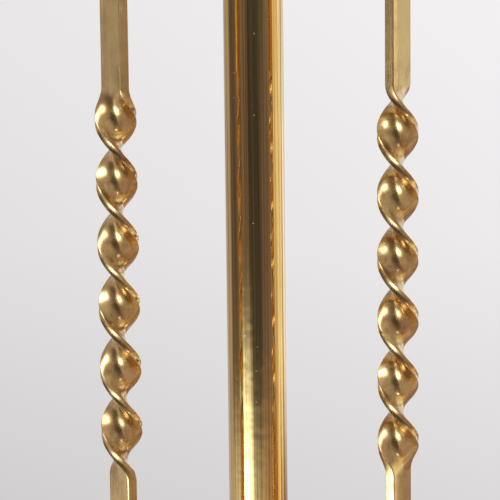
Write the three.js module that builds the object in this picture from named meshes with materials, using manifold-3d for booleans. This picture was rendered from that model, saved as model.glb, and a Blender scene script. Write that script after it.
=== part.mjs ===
// A tripod floor lamp in polished brass. Three flat bars stand round a plain tubular column. Each bar sweeps out
// to a foot, rises straight with three full turns of twist at its middle, and bends in over the column to a hub
// plate. A collar with three tie rods braces the bars low down, and a threaded lamp pipe clamps the whole stack,
// from the bell under the column to the lamp holder. A linen shade turns on a harp above.
// Sizes are in millimetres, angles in degrees. +Z is up, the column's axis is the Z axis and the floor is z = 0.
import * as THREE from "three";
import { mergeVertices } from "three/addons/utils/BufferGeometryUtils.js";
import Module from "manifold-3d";

const wasm = await Module();
wasm.setup();

// Driving dimensions
const columnDiameter = 38;
const columnWall = 1.2;
const columnBottomHeight = 250;
const barWidth = 25;
const barThickness = 6;
const cageRadius = 100;
const uprightBottomHeight = 200;
const uprightTopHeight = 1050;
const twistTurns = 3;
const twistLength = 238;
const twistCentreHeight = 700;
const neckHeight = 60;
const harpHeight = 241;
const shadeBottomRadius = 250;
const shadeTopRadius = 175;
const shadeHeight = 290;

// Clearances and shared hardware sizes
const fitGap = 0.3;
const cutOverrun = 1;
const pipeRadius = 5;
const pipeBoreRadius = 3.5;
const pipeHoleRadius = pipeRadius + fitGap;
const pipeEndMargin = 1;
const nutFlatRadius = 8.6;
const nutHeight = 5;
const legAngles = [90, 210, 330];

// Facets round a large turned piece, a medium one and a small one
const largeFacets = 24;
const mediumFacets = 16;
const smallFacets = 8;

const columnRadius = columnDiameter / 2;
const columnBoreRadius = columnRadius - columnWall;
const radians = THREE.MathUtils.degToRad;

// Working with shapes

// A closed geometry as a solid that can be cut and joined
function solidOf(geometry) {
  const bare = geometry.index ? geometry.toNonIndexed() : geometry.clone();
  bare.deleteAttribute("normal");
  bare.deleteAttribute("uv");
  const merged = mergeVertices(bare);
  return new wasm.Manifold(
    new wasm.Mesh({
      numProp: 3,
      vertProperties: new Float32Array(merged.attributes.position.array),
      triVerts: new Uint32Array(merged.index.array),
    }),
  );
}

function geometryOf(solid) {
  const mesh = solid.getMesh();
  const geometry = new THREE.BufferGeometry();
  geometry.setAttribute("position", new THREE.BufferAttribute(mesh.vertProperties, 3));
  geometry.setIndex(new THREE.BufferAttribute(mesh.triVerts, 1));
  geometry.computeVertexNormals();
  return geometry;
}

// The first geometry with the others joined to it
function joined(first, ...others) {
  return geometryOf(others.reduce((whole, piece) => whole.add(solidOf(piece)), solidOf(first)));
}

// A geometry with the others cut out of it
function cut(blank, ...tools) {
  return geometryOf(tools.reduce((whole, tool) => whole.subtract(solidOf(tool)), solidOf(blank)));
}

// A profile of [radius, height] pairs turned about the Z axis. It starts and ends on the axis, and runs up the
// outside.
function turned(profile, facets) {
  const points = profile.map(([radius, height]) => new THREE.Vector2(radius, height));
  return new THREE.LatheGeometry(points, facets).rotateX(Math.PI / 2);
}

// A turned ring: the profile goes up the outside and closes on itself round a hollow middle
function turnedRing(profile, facets) {
  return turned([...profile, profile[0]], facets);
}

// A plain rod or disc along Z, from one height to another
function rod(radius, bottom, top, facets) {
  return turned([[0, bottom], [radius, bottom], [radius, top], [0, top]], facets);
}

// A plain tube or ring along Z
function sleeve(boreRadius, radius, bottom, top, facets) {
  return turnedRing([[radius, bottom], [radius, top], [boreRadius, top], [boreRadius, bottom]], facets);
}

// A six-sided prism along Z, sized by the distance from its axis to a flat
function hexagon(flatRadius, bottom, top) {
  const sides = 6;
  return rod(flatRadius / Math.cos(Math.PI / sides), bottom, top, sides);
}

// Lays a shape made along Z down along +X
const alongX = (geometry) => geometry.rotateY(Math.PI / 2);

// Lays a shape made along Z down along -Y, towards the front
const alongFront = (geometry) => geometry.rotateX(Math.PI / 2);

// The numbers from 0 to 1 in equal steps
const evenShares = (steps) => Array.from({ length: steps + 1 }, (_, i) => i / steps);

// Points of a profile on an arc, between two angles measured from the outward direction
function arc(centreRadius, centreHeight, radius, from, to, steps) {
  return evenShares(steps).map((share) => {
    const angle = radians(from + (to - from) * share);
    return [centreRadius + radius * Math.cos(angle), centreHeight + radius * Math.sin(angle)];
  });
}

// A solid skinned over closed rings of points, with both ends capped
function skinned(rings) {
  const count = rings[0].length;
  const last = rings.length - 1;
  const corners = [];
  for (let i = 0; i < last; i++)
    for (let j = 0; j < count; j++) {
      const next = (j + 1) % count;
      corners.push(rings[i][j], rings[i][next], rings[i + 1][next]);
      corners.push(rings[i][j], rings[i + 1][next], rings[i + 1][j]);
    }
  for (let j = 1; j < count - 1; j++) {
    corners.push(rings[0][0], rings[0][j + 1], rings[0][j]);
    corners.push(rings[last][0], rings[last][j], rings[last][j + 1]);
  }
  return new THREE.BufferGeometry().setFromPoints(corners);
}

// A round wire along a curve
function wire(curve, radius, steps, sides) {
  const outline = new THREE.Shape(evenShares(sides).slice(1).map((share) => {
    const angle = 2 * Math.PI * share;
    return new THREE.Vector2(radius * Math.cos(angle), radius * Math.sin(angle));
  }));
  return new THREE.ExtrudeGeometry(outline, { steps, bevelEnabled: false, extrudePath: curve });
}

// A screw with a domed head: its seat is at z = 0 and its shank runs down from it
function domedScrew(headRadius, headHeight, shankRadius, shankLength) {
  const dome = evenShares(3).map((share) => {
    const angle = (Math.PI / 2) * share;
    return [headRadius * Math.cos(angle), headHeight * Math.sin(angle)];
  });
  return turned([[0, -shankLength], [shankRadius, -shankLength], [shankRadius, 0], ...dome], smallFacets);
}

// Materials
const finish = (color, roughness, metalness) => new THREE.MeshStandardMaterial({ color, roughness, metalness });
const polishedBrass = finish(0xc9a153, 0.18, 1);
const platedSteel = finish(0xb9b7ae, 0.4, 1);
const blackRubber = finish(0x1b1a19, 0.85, 0);
const blackPlastic = finish(0x17130f, 0.35, 0);
const brownPhenolic = finish(0x3a2415, 0.5, 0);
const fibreBoard = finish(0x8a7b66, 0.9, 0);
const frostedGlass = finish(0xf3f1ea, 0.6, 0);
const plainAluminium = finish(0xc6c7c4, 0.35, 1);
const naturalLinen = finish(0xe9e0cf, 0.95, 0);

const lamp = new THREE.Group();

// Adds one named piece to the lamp or to a group of it
function add(name, geometry, material, parent = lamp) {
  const mesh = new THREE.Mesh(geometry, material);
  mesh.name = name;
  parent.add(mesh);
  return mesh;
}

// A group turned about the column. Inside it +X points away from the column.
function turnedGroup(angle) {
  const group = new THREE.Group();
  group.rotation.z = radians(angle);
  lamp.add(group);
  return group;
}

const legGroups = legAngles.map(turnedGroup);

// Legs
const glideHeight = 8;
const sweepRadius = 200;
const sweepAngle = 35;
const toeBendRadius = 45;
const toeLength = 32;
const topBendRadius = 50;
const twistEase = 4;
const tabInset = 4;
const tieRodRise = 50;
const tieStudRadius = 3;
const footShankRadius = 2.5;
const hubShankRadius = 2.7;
const tabHeight = uprightTopHeight + topBendRadius;
const tabBottomHeight = tabHeight - barThickness / 2;
const tabTopHeight = tabHeight + barThickness / 2;
const tabInnerRadius = nutFlatRadius + tabInset;
const tabOuterRadius = cageRadius - topBendRadius;
const hubScrewCircleRadius = (tabInnerRadius + tabOuterRadius) / 2;
const legOuterRadius = cageRadius + barThickness / 2;
const toeHeight = glideHeight + barThickness / 2;
const tieRodHeight = columnBottomHeight + tieRodRise;
const footHoleRadius = footShankRadius + fitGap;

// How far the bar has turned at a height: a steady rate, eased in and out over a short length
function twistAt(height) {
  const total = 2 * Math.PI * twistTurns;
  const rate = total / (twistLength - twistEase);
  const run = height - (twistCentreHeight - twistLength / 2);
  const left = twistLength - run;
  if (run <= 0) return 0;
  if (left <= 0) return total;
  if (run < twistEase) return (rate * run * run) / (2 * twistEase);
  if (left < twistEase) return total - (rate * left * left) / (2 * twistEase);
  return rate * (run - twistEase / 2);
}

// Where the bar's bends lie, worked up from the floor
const sweepLean = radians(sweepAngle);
const sweepDrop = sweepRadius * Math.sin(sweepLean);
const toeDrop = toeBendRadius * (1 - Math.sin(sweepLean));
const slopeLength = (uprightBottomHeight - toeHeight - sweepDrop - toeDrop) / Math.cos(sweepLean);
const slopeTopRadius = cageRadius + sweepRadius * (1 - Math.cos(sweepLean));
const slopeBottomRadius = slopeTopRadius + slopeLength * Math.sin(sweepLean);
const toeEndRadius = slopeBottomRadius + toeBendRadius * Math.cos(sweepLean) + toeLength;
const footScrewRadius = toeEndRadius - barWidth / 2;

// The centre line from the toe to the end of the tab. Each station has its distance from the column's axis, its
// height, its lean from upright and half the bar's width there.
function legStations() {
  const half = barWidth / 2;
  const flat = Math.PI / 2;
  const bluntAngle = radians(22);
  const bendSteps = 6;
  const stepsPerTurn = 20;
  const toeRound = evenShares(3).map((share) => {
    const angle = bluntAngle + (flat - bluntAngle) * share;
    return [footScrewRadius + half * Math.cos(angle), toeHeight, flat, half * Math.sin(angle)];
  });
  const toeBend = evenShares(bendSteps).map((share) => {
    const lean = flat + (sweepLean - flat) * share;
    return [
      slopeBottomRadius + toeBendRadius * (Math.cos(sweepLean) - Math.cos(lean)),
      toeHeight + toeBendRadius * (1 - Math.sin(lean)),
      lean,
      half,
    ];
  });
  const sweep = evenShares(bendSteps).map((share) => {
    const lean = sweepLean * (1 - share);
    return [
      cageRadius + sweepRadius * (1 - Math.cos(lean)),
      uprightBottomHeight - sweepRadius * Math.sin(lean),
      lean,
      half,
    ];
  });
  const twist = evenShares(stepsPerTurn * twistTurns).map((share) => [
    cageRadius,
    twistCentreHeight - twistLength / 2 + twistLength * share,
    0,
    half,
  ]);
  const topBend = evenShares(bendSteps).map((share) => {
    const lean = flat * share;
    return [
      tabOuterRadius + topBendRadius * Math.cos(lean),
      uprightTopHeight + topBendRadius * Math.sin(lean),
      lean,
      half,
    ];
  });
  return [...toeRound, ...toeBend, ...sweep, ...twist, ...topBend, [tabInnerRadius, tabHeight, flat, half]];
}

// The bar's four corners at a station. The twist is left-handed: seen from above, the section turns clockwise on
// its way up.
function legRing([radius, height, lean, half]) {
  const along = new THREE.Vector3(-Math.sin(lean), 0, Math.cos(lean));
  const turn = new THREE.Quaternion().setFromAxisAngle(along, -twistAt(height));
  const thick = new THREE.Vector3(Math.cos(lean), 0, Math.sin(lean)).applyQuaternion(turn);
  const wide = new THREE.Vector3(0, 1, 0).applyQuaternion(turn);
  return [[1, -1], [1, 1], [-1, 1], [-1, -1]].map(([out, side]) =>
    new THREE.Vector3(radius, 0, height)
      .addScaledVector(thick, (out * barThickness) / 2)
      .addScaledVector(wide, side * half),
  );
}

const footHole = rod(footHoleRadius, glideHeight - cutOverrun, glideHeight + barThickness + cutOverrun,
  smallFacets).translate(footScrewRadius, 0, 0);
const tieHole = alongX(rod(tieStudRadius + fitGap, cageRadius - barThickness, cageRadius + barThickness,
  smallFacets)).translate(0, 0, tieRodHeight);
const tabHole = rod(hubShankRadius + fitGap, tabBottomHeight - cutOverrun, tabTopHeight + cutOverrun, smallFacets)
  .translate(hubScrewCircleRadius, 0, 0);
const legShape = cut(skinned(legStations().map(legRing)), footHole, tieHole, tabHole);
legGroups.forEach((group, i) => add(`leg_${i + 1}`, legShape, polishedBrass, group));

// Feet: a rubber glide under each toe, held by a domed screw through the bar
const glideRadius = 13;
const glideTopRadius = 11.5;
const glideEdge = 2;
const glideHoleDepth = 5;
const footScrewHeadRadius = 7;
const footScrewHeadHeight = 3.6;

const glideShape = turned([
  [0, 0],
  [glideRadius, 0],
  [glideRadius, glideEdge],
  [glideTopRadius, glideHeight],
  [footHoleRadius, glideHeight],
  [footHoleRadius, glideHeight - glideHoleDepth],
  [0, glideHeight - glideHoleDepth],
], mediumFacets);
const footScrewShape = domedScrew(footScrewHeadRadius, footScrewHeadHeight, footShankRadius,
  barThickness + glideHoleDepth - fitGap);
legGroups.forEach((group, i) => {
  add(`foot_glide_${i + 1}`, glideShape, blackRubber, group).position.x = footScrewRadius;
  add(`foot_screw_${i + 1}`, footScrewShape, polishedBrass, group)
    .position.set(footScrewRadius, 0, glideHeight + barThickness);
});

// Lower spider: a collar on the column, with a tie rod to each leg
const collarWall = 9;
const collarHeight = 34;
const collarEdge = 2;
const tieRodRadius = 4.5;
const tieStudDepth = 7;
const tieNutFlatRadius = 5;
const tieNutHeight = 5;
const tieNutDomeRadius = 4.6;
const tieNutHoleDepth = 6;
const setScrewAngle = 30;
const setScrewRadius = 2.5;
const setScrewHeadRadius = 4;
const setScrewHeadHeight = 2.5;
const collarRadius = columnRadius + collarWall;
const collarBoreRadius = columnRadius + fitGap;
const collarBottomHeight = tieRodHeight - collarHeight / 2;
const collarTopHeight = tieRodHeight + collarHeight / 2;

const collarBlank = turnedRing([
  [collarRadius - collarEdge, collarBottomHeight],
  [collarRadius, collarBottomHeight + collarEdge],
  [collarRadius, collarTopHeight - collarEdge],
  [collarRadius - collarEdge, collarTopHeight],
  [collarBoreRadius, collarTopHeight],
  [collarBoreRadius, collarBottomHeight],
], largeFacets);
// A round hole from outside the collar towards the column
const collarHole = (angle, radius, from) =>
  alongX(rod(radius, from, collarRadius + cutOverrun, smallFacets))
    .translate(0, 0, tieRodHeight)
    .rotateZ(radians(angle));
add("spider_collar", cut(collarBlank,
  ...legAngles.map((angle) => collarHole(angle, tieStudRadius + fitGap, collarRadius - tieStudDepth)),
  collarHole(setScrewAngle, setScrewRadius + fitGap, columnRadius),
), polishedBrass);

const tieRodStart = collarRadius + fitGap;
const tieRodEnd = cageRadius - barThickness / 2 - fitGap;
const tieNutStart = legOuterRadius + fitGap;
const tieRodShape = alongX(turned([
  [0, tieRodStart - tieStudDepth],
  [tieStudRadius, tieRodStart - tieStudDepth],
  [tieStudRadius, tieRodStart],
  [tieRodRadius, tieRodStart],
  [tieRodRadius, tieRodEnd],
  [tieStudRadius, tieRodEnd],
  [tieStudRadius, tieNutStart + tieNutHoleDepth - fitGap],
  [0, tieNutStart + tieNutHoleDepth - fitGap],
], smallFacets));
const tieNutDome = turned([
  [0, 0],
  ...arc(0, tieNutHeight, tieNutDomeRadius, 0, 90, 3),
], smallFacets);
const tieNutShape = alongX(cut(
  joined(hexagon(tieNutFlatRadius, 0, tieNutHeight), tieNutDome),
  rod(tieStudRadius + fitGap, -cutOverrun, tieNutHoleDepth, smallFacets),
));
legGroups.forEach((group, i) => {
  add(`tie_rod_${i + 1}`, tieRodShape, polishedBrass, group).position.z = tieRodHeight;
  add(`tie_nut_${i + 1}`, tieNutShape, polishedBrass, group).position.set(tieNutStart, 0, tieRodHeight);
});
const setScrewShape = alongX(domedScrew(setScrewHeadRadius, setScrewHeadHeight, setScrewRadius, collarWall));
add("collar_set_screw", setScrewShape, polishedBrass, turnedGroup(setScrewAngle))
  .position.set(collarRadius + fitGap, 0, tieRodHeight);

// Column tube, and the plug that closes its bottom end
const plugOverhang = 2.5;
const plugFlangeHeight = 4;
const plugSpigotHeight = 12;
const plugNoseRadius = 13;
const plugNoseHeight = 8;
const hubThickness = 8;
const hubBottomHeight = tabBottomHeight - hubThickness;
const spigotRadius = columnBoreRadius - fitGap;
const plugRadius = columnRadius + plugOverhang;
const plugBottomHeight = columnBottomHeight - plugFlangeHeight;
const plugNoseBottomHeight = plugBottomHeight - plugNoseHeight;
const plugTopHeight = columnBottomHeight + plugSpigotHeight;

add("column_tube", sleeve(columnBoreRadius, columnRadius, columnBottomHeight, hubBottomHeight, largeFacets),
  polishedBrass);
add("column_plug", turnedRing([
  [plugNoseRadius, plugNoseBottomHeight],
  [plugNoseRadius, plugBottomHeight],
  [plugRadius, plugBottomHeight],
  [plugRadius, columnBottomHeight],
  [spigotRadius, columnBottomHeight],
  [spigotRadius, plugTopHeight],
  [pipeHoleRadius, plugTopHeight],
  [pipeHoleRadius, plugNoseBottomHeight],
], mediumFacets), polishedBrass);

// Bell under the column, screwed on the plug's nose, with the bushed inlet for the flex
const bellHeight = 46;
const bellLipHeight = 10;
const bellWaistRadius = 12;
const bellBulbRadius = 17;
const bellBulbArcRadius = 10;
const bellBulbRise = 15;
const bellMouthRadius = 10.5;
const bellMouthHeight = 2;
const bellFloor = 4;
const bellHoleRadius = 6;
const bellChannelRadius = 8;
const bellChamberMargin = 1;
const bushingFlangeRadius = 8.5;
const bushingFlangeHeight = 2;
const bushingLength = 10;
const bushingWall = 2;
const bellBottomHeight = plugBottomHeight - bellHeight;
const bellFlareRadius = plugRadius - bellWaistRadius;
const bellWaistHeight = plugBottomHeight - bellLipHeight - bellFlareRadius;
const bellSocketRadius = plugNoseRadius + fitGap;
const bellSocketHeight = plugNoseBottomHeight - fitGap;
const bellChamberRadius = nutFlatRadius / Math.cos(Math.PI / 6) + bellChamberMargin;
const bottomNutHeight = plugNoseBottomHeight - nutHeight;
const pipeBottomHeight = bottomNutHeight - pipeEndMargin;
const bellChamberBottomHeight = pipeBottomHeight - bellChamberMargin;
const bushingRadius = bellHoleRadius - fitGap;
const bushingBoreRadius = bushingRadius - bushingWall;

add("bottom_bell", turnedRing([
  [bellMouthRadius, bellBottomHeight],
  [bellMouthRadius, bellBottomHeight + bellMouthHeight],
  ...arc(bellBulbRadius - bellBulbArcRadius, bellBottomHeight + bellBulbRise, bellBulbArcRadius, -50, 55, 4),
  ...arc(plugRadius, bellWaistHeight, bellFlareRadius, 180, 90, 3),
  [plugRadius, plugBottomHeight],
  [bellSocketRadius, plugBottomHeight],
  [bellSocketRadius, bellSocketHeight],
  [bellChamberRadius, bellSocketHeight],
  [bellChamberRadius, bellChamberBottomHeight],
  [bellChannelRadius, bellChamberBottomHeight],
  [bellChannelRadius, bellBottomHeight + bellFloor],
  [bellHoleRadius, bellBottomHeight + bellFloor],
  [bellHoleRadius, bellBottomHeight],
], mediumFacets), polishedBrass);
add("cord_bushing", turnedRing([
  [bushingFlangeRadius, bellBottomHeight - bushingFlangeHeight],
  [bushingFlangeRadius, bellBottomHeight],
  [bushingRadius, bellBottomHeight],
  [bushingRadius, bellBottomHeight + bushingLength],
  [bushingBoreRadius, bellBottomHeight + bushingLength],
  [bushingBoreRadius, bellBottomHeight - bushingFlangeHeight],
], mediumFacets), blackPlastic);

// A six-sided nut on the lamp pipe
const pipeNut = (bottom) => cut(
  hexagon(nutFlatRadius, bottom, bottom + nutHeight),
  rod(pipeHoleRadius, bottom - cutOverrun, bottom + nutHeight + cutOverrun, mediumFacets),
);
add("bottom_nut", pipeNut(bottomNutHeight), platedSteel);

// Hub plate over the column, with the legs' tabs screwed on top of it
const hubMargin = 3;
const hubEdge = 1;
const hubSpigotHeight = 10;
const hubScrewHeadRadius = 5;
const hubScrewHeadHeight = 3;
const topRingHeight = 14;
const topRingWall = 3.5;
const topRingBeadRadius = 3;
const topRingLip = 2;
const hubRadius = tabOuterRadius - hubMargin;
const topRingRadius = columnRadius + fitGap + topRingWall;
const topRingBottomHeight = hubBottomHeight - topRingHeight;

const hubBlank = turnedRing([
  [spigotRadius, hubBottomHeight - hubSpigotHeight],
  [spigotRadius, hubBottomHeight],
  [hubRadius - hubEdge, hubBottomHeight],
  [hubRadius, hubBottomHeight + hubEdge],
  [hubRadius, tabBottomHeight - hubEdge],
  [hubRadius - hubEdge, tabBottomHeight],
  [pipeHoleRadius, tabBottomHeight],
  [pipeHoleRadius, hubBottomHeight - hubSpigotHeight],
], largeFacets);
const hubHoles = legAngles.map((angle) =>
  rod(hubShankRadius + fitGap, hubBottomHeight - cutOverrun, tabBottomHeight + cutOverrun, smallFacets)
    .translate(hubScrewCircleRadius, 0, 0)
    .rotateZ(radians(angle)),
);
add("hub_plate", cut(hubBlank, ...hubHoles), polishedBrass);
const hubScrewShape = domedScrew(hubScrewHeadRadius, hubScrewHeadHeight, hubShankRadius,
  barThickness + hubThickness);
legGroups.forEach((group, i) => {
  add(`hub_screw_${i + 1}`, hubScrewShape, platedSteel, group)
    .position.set(hubScrewCircleRadius, 0, tabTopHeight);
});
add("hub_nut", pipeNut(tabBottomHeight), platedSteel);

// A turned ring round the top of the column, tight under the hub
add("column_top_ring", turnedRing([
  [topRingRadius, topRingBottomHeight],
  ...arc(topRingRadius, topRingBottomHeight + topRingBeadRadius, topRingBeadRadius, -90, 90, 4).slice(1),
  [topRingRadius, hubBottomHeight - topRingBeadRadius],
  [topRingRadius + topRingLip, hubBottomHeight],
  [collarBoreRadius, hubBottomHeight],
  [collarBoreRadius, topRingBottomHeight],
], largeFacets), polishedBrass);

// Canopy: a spun dome over the legs' tabs
const canopyWall = 1.5;
const canopyHeight = 30;
const canopyRimHeight = 3;
const canopyCrownRadius = 17;
const canopyCrownHeight = 4;
const canopyBottomHeight = tabTopHeight + fitGap;
const canopyTopHeight = canopyBottomHeight + canopyHeight;
const canopyDomeWidth = tabOuterRadius - canopyCrownRadius;
const canopyDomeHeight = canopyHeight - canopyRimHeight - canopyCrownHeight;

const canopyOutside = [
  [tabOuterRadius, canopyBottomHeight],
  ...evenShares(5).map((share) => {
    const angle = (Math.PI / 2) * share;
    return [
      canopyCrownRadius + canopyDomeWidth * Math.cos(angle),
      canopyBottomHeight + canopyRimHeight + canopyDomeHeight * Math.sin(angle),
    ];
  }),
  [canopyCrownRadius, canopyTopHeight],
];
const canopyInside = canopyOutside.map(([radius, height]) => [
  radius - canopyWall,
  Math.max(height - canopyWall, canopyBottomHeight),
]);
add("canopy", turnedRing([
  ...canopyOutside,
  [pipeHoleRadius, canopyTopHeight],
  [pipeHoleRadius, canopyTopHeight - canopyWall],
  ...canopyInside.toReversed(),
], mediumFacets), polishedBrass);

// Neck: a turned baluster between the canopy and the lamp holder
const neckBaseRadius = 16;
const neckBaseHeight = 4;
const neckWaistRadius = 8.5;
const neckBallRadius = 14;
const neckTopRadius = 12;
const neckTopHeight = 5;
const neckBallShare = 0.45;
const neckWaistShares = [0.17, 0.75];
const washerRadius = 14;
const washerThickness = 2;
const neckBottomHeight = canopyTopHeight;
const neckEndHeight = neckBottomHeight + neckHeight;
const washerTopHeight = neckEndHeight + washerThickness;

add("neck", turnedRing([
  [neckBaseRadius, neckBottomHeight],
  [neckBaseRadius, neckBottomHeight + neckBaseHeight],
  [neckWaistRadius, neckBottomHeight + neckHeight * neckWaistShares[0]],
  ...arc(0, neckBottomHeight + neckHeight * neckBallShare, neckBallRadius, -45, 50, 5),
  [neckWaistRadius, neckBottomHeight + neckHeight * neckWaistShares[1]],
  [neckTopRadius, neckEndHeight - neckTopHeight],
  [neckTopRadius, neckEndHeight],
  [pipeHoleRadius, neckEndHeight],
  [pipeHoleRadius, neckBottomHeight],
], mediumFacets), polishedBrass);
add("neck_washer", sleeve(pipeHoleRadius, washerRadius, neckEndHeight, washerTopHeight, mediumFacets),
  polishedBrass);

// Harp saddle: a strip bent up at both ends, each with a narrow tang for the harp
const saddleWidth = 12.7;
const saddleThickness = 2;
const saddleArmHeight = 14;
const saddleBend = 5;
const saddleArmRadius = 32;
const tangWidth = 4.2;
const tangHeight = 10;
const saddleTopHeight = washerTopHeight + saddleThickness;
const saddleShoulderHeight = washerTopHeight + saddleArmHeight;

function saddleOutline() {
  const outer = saddleArmRadius + saddleThickness / 2;
  const inner = saddleArmRadius - saddleThickness / 2;
  const half = [
    [outer - saddleBend, 0],
    [outer, saddleBend],
    [outer, saddleArmHeight],
    [inner, saddleArmHeight],
    [inner, saddleBend],
    [outer - saddleBend, saddleThickness],
  ];
  const mirrored = half.map(([x, z]) => [-x, z]).reverse();
  return new THREE.Shape([...half, ...mirrored].map(([x, z]) => new THREE.Vector2(x, z)));
}

// A strip cut to an outline in the XZ plane, centred on Y
function strip(outline, width) {
  return new THREE.ExtrudeGeometry(outline, { depth: width, bevelEnabled: false })
    .rotateX(Math.PI / 2)
    .translate(0, width / 2, 0);
}
const tangs = [1, -1].map((side) =>
  new THREE.BoxGeometry(saddleThickness, tangWidth, tangHeight + saddleBend)
    .translate(side * saddleArmRadius, 0, saddleArmHeight + (tangHeight - saddleBend) / 2),
);
const saddleBlank = joined(strip(saddleOutline(), saddleWidth), ...tangs);
const saddleHole = rod(pipeHoleRadius, -cutOverrun, saddleThickness + cutOverrun, mediumFacets);
add("harp_saddle", cut(saddleBlank, saddleHole), polishedBrass).position.z = washerTopHeight;

// Harp: one bent wire round the bulb, with a threaded stud for the shade at its top
const harpWireRadius = 1.6;
const harpBulgeRadius = 57;
const harpStraight = 24;
const harpBossRadius = 6;
const harpBossHeight = 4;
const studRadius = 3.175;
const studLength = 14;
const ferruleWall = 1.1;
const ferruleHeight = 16;
const harpFootHeight = saddleShoulderHeight + tangHeight + fitGap;
const harpSeatHeight = washerTopHeight + harpHeight;
const harpTopWireHeight = harpSeatHeight - harpBossHeight;
const ferruleBoreRadius = Math.hypot(tangWidth, saddleThickness) / 2 + fitGap;

// How far the harp's side stands out, as a share of its bulge, and at what share of its bowed height
const harpBowShares = [
  [0.83, 0.17],
  [0.98, 0.37],
  [1.0, 0.5],
  [0.96, 0.67],
  [0.8, 0.84],
  [0.5, 0.96],
  [0.2, 1.0],
];
const harpBowBottom = harpFootHeight + harpStraight;
const harpSide = [
  [saddleArmRadius, harpFootHeight],
  [saddleArmRadius, harpFootHeight + harpStraight / 2],
  [saddleArmRadius, harpBowBottom],
  ...harpBowShares.map(([out, up]) => [
    harpBulgeRadius * out,
    harpBowBottom + (harpTopWireHeight - harpBowBottom) * up,
  ]),
];
const harpPath = new THREE.CatmullRomCurve3([
  ...harpSide.map(([x, z]) => new THREE.Vector3(x, 0, z)),
  ...harpSide.toReversed().map(([x, z]) => new THREE.Vector3(-x, 0, z)),
]);
add("harp", joined(
  wire(harpPath, harpWireRadius, 44, 6),
  rod(harpBossRadius, harpSeatHeight - harpBossHeight, harpSeatHeight, smallFacets),
  rod(studRadius, harpSeatHeight - harpBossHeight / 2, harpSeatHeight + studLength, smallFacets),
), polishedBrass);
const ferruleShape = sleeve(ferruleBoreRadius, ferruleBoreRadius + ferruleWall, 0, ferruleHeight, smallFacets);
[["left", -1], ["right", 1]].forEach(([side, sign]) => {
  add(`harp_ferrule_${side}`, ferruleShape, polishedBrass)
    .position.set(sign * saddleArmRadius, 0, saddleShoulderHeight);
});

// Lamp holder. Its sleeves nest round the bulb's base, each one a wall and a gap further out.
const bulbBaseRadius = 13;
const screwShellWall = 0.5;
const insulatorWall = 0.7;
const holderShellWall = 0.8;
const holderCapWall = 0.8;
const holderBossRadius = 8;
const holderBossHeight = 2;
const holderFlareHeight = 7;
const holderFloor = 4;
const holderStepHeight = 8;
const holderStepRadius = 12.5;
const holderCapHeight = 16;
const holderShellHeight = 46;
const coreHeight = 22;
const screwShellHeight = 22;
const contactRadius = 4;
const contactHeight = 1.2;
const screwShellBoreRadius = bulbBaseRadius + fitGap;
const screwShellRadius = screwShellBoreRadius + screwShellWall;
const insulatorBoreRadius = screwShellRadius + fitGap;
const insulatorRadius = insulatorBoreRadius + insulatorWall;
const holderShellBoreRadius = insulatorRadius + fitGap;
const holderShellRadius = holderShellBoreRadius + holderShellWall;
const holderCapBoreRadius = holderShellRadius + fitGap;
const holderCapRadius = holderCapBoreRadius + holderCapWall;
const holderSeatHeight = saddleTopHeight + holderStepHeight;
const holderShellTopHeight = holderSeatHeight + holderShellHeight;
const coreTopHeight = holderSeatHeight + coreHeight;
const pipeTopHeight = holderSeatHeight - pipeEndMargin;

add("lamp_pipe", sleeve(pipeBoreRadius, pipeRadius, pipeBottomHeight, pipeTopHeight, smallFacets), platedSteel);
add("holder_cap", turnedRing([
  [holderBossRadius, saddleTopHeight],
  [holderBossRadius, saddleTopHeight + holderBossHeight],
  [holderCapRadius, saddleTopHeight + holderFlareHeight],
  [holderCapRadius, saddleTopHeight + holderCapHeight],
  [holderCapBoreRadius, saddleTopHeight + holderCapHeight],
  [holderCapBoreRadius, holderSeatHeight],
  [holderStepRadius, holderSeatHeight],
  [pipeHoleRadius, saddleTopHeight + holderFloor],
  [pipeHoleRadius, saddleTopHeight],
], mediumFacets), polishedBrass);

// The switch spindle goes in through the shell and the insulator, and the terminal screws lie in pockets
const spindleHeight = holderSeatHeight + (2 / 3) * coreHeight;
const spindleRadius = 2;
const spindleDepth = 8;
const spindleStart = holderStepRadius - spindleDepth;
const terminalShankRadius = 1.5;
const terminalShankLength = 4;
const terminalHeadRadius = 3;
const terminalHeadHeight = 1.6;
const terminalPocketRadius = 4;
const terminalPocketDepth = 3.3;
const terminalAngles = [0, 180];
const terminalSeatRadius = screwShellRadius - terminalPocketDepth;
const spindleHole = alongFront(rod(spindleRadius + fitGap, spindleStart, holderCapRadius + cutOverrun,
  smallFacets)).translate(0, 0, spindleHeight);

add("holder_shell", cut(sleeve(holderShellBoreRadius, holderShellRadius, holderSeatHeight, holderShellTopHeight,
  mediumFacets), spindleHole), polishedBrass);
add("holder_insulator", cut(sleeve(insulatorBoreRadius, insulatorRadius, holderSeatHeight, holderShellTopHeight,
  mediumFacets), spindleHole), fibreBoard);
// A round hole into the core's side, at the height of the spindle
const coreHole = (angle, radius, from) =>
  alongX(rod(radius, from, screwShellRadius + cutOverrun, smallFacets))
    .translate(0, 0, spindleHeight)
    .rotateZ(radians(angle));
add("holder_core", cut(rod(screwShellRadius, holderSeatHeight, coreTopHeight, mediumFacets), spindleHole,
  ...terminalAngles.map((angle) => coreHole(angle, terminalPocketRadius, terminalSeatRadius)),
  ...terminalAngles.map((angle) =>
    coreHole(angle, terminalShankRadius + fitGap, terminalSeatRadius - terminalShankLength)),
), brownPhenolic);
const terminalShape = alongX(domedScrew(terminalHeadRadius, terminalHeadHeight, terminalShankRadius,
  terminalShankLength));
terminalAngles.forEach((angle, i) => {
  add(`terminal_screw_${i + 1}`, terminalShape, polishedBrass, turnedGroup(angle))
    .position.set(terminalSeatRadius + fitGap, 0, spindleHeight);
});
add("screw_shell", sleeve(screwShellBoreRadius, screwShellRadius, coreTopHeight, coreTopHeight + screwShellHeight,
  mediumFacets), plainAluminium);
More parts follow.
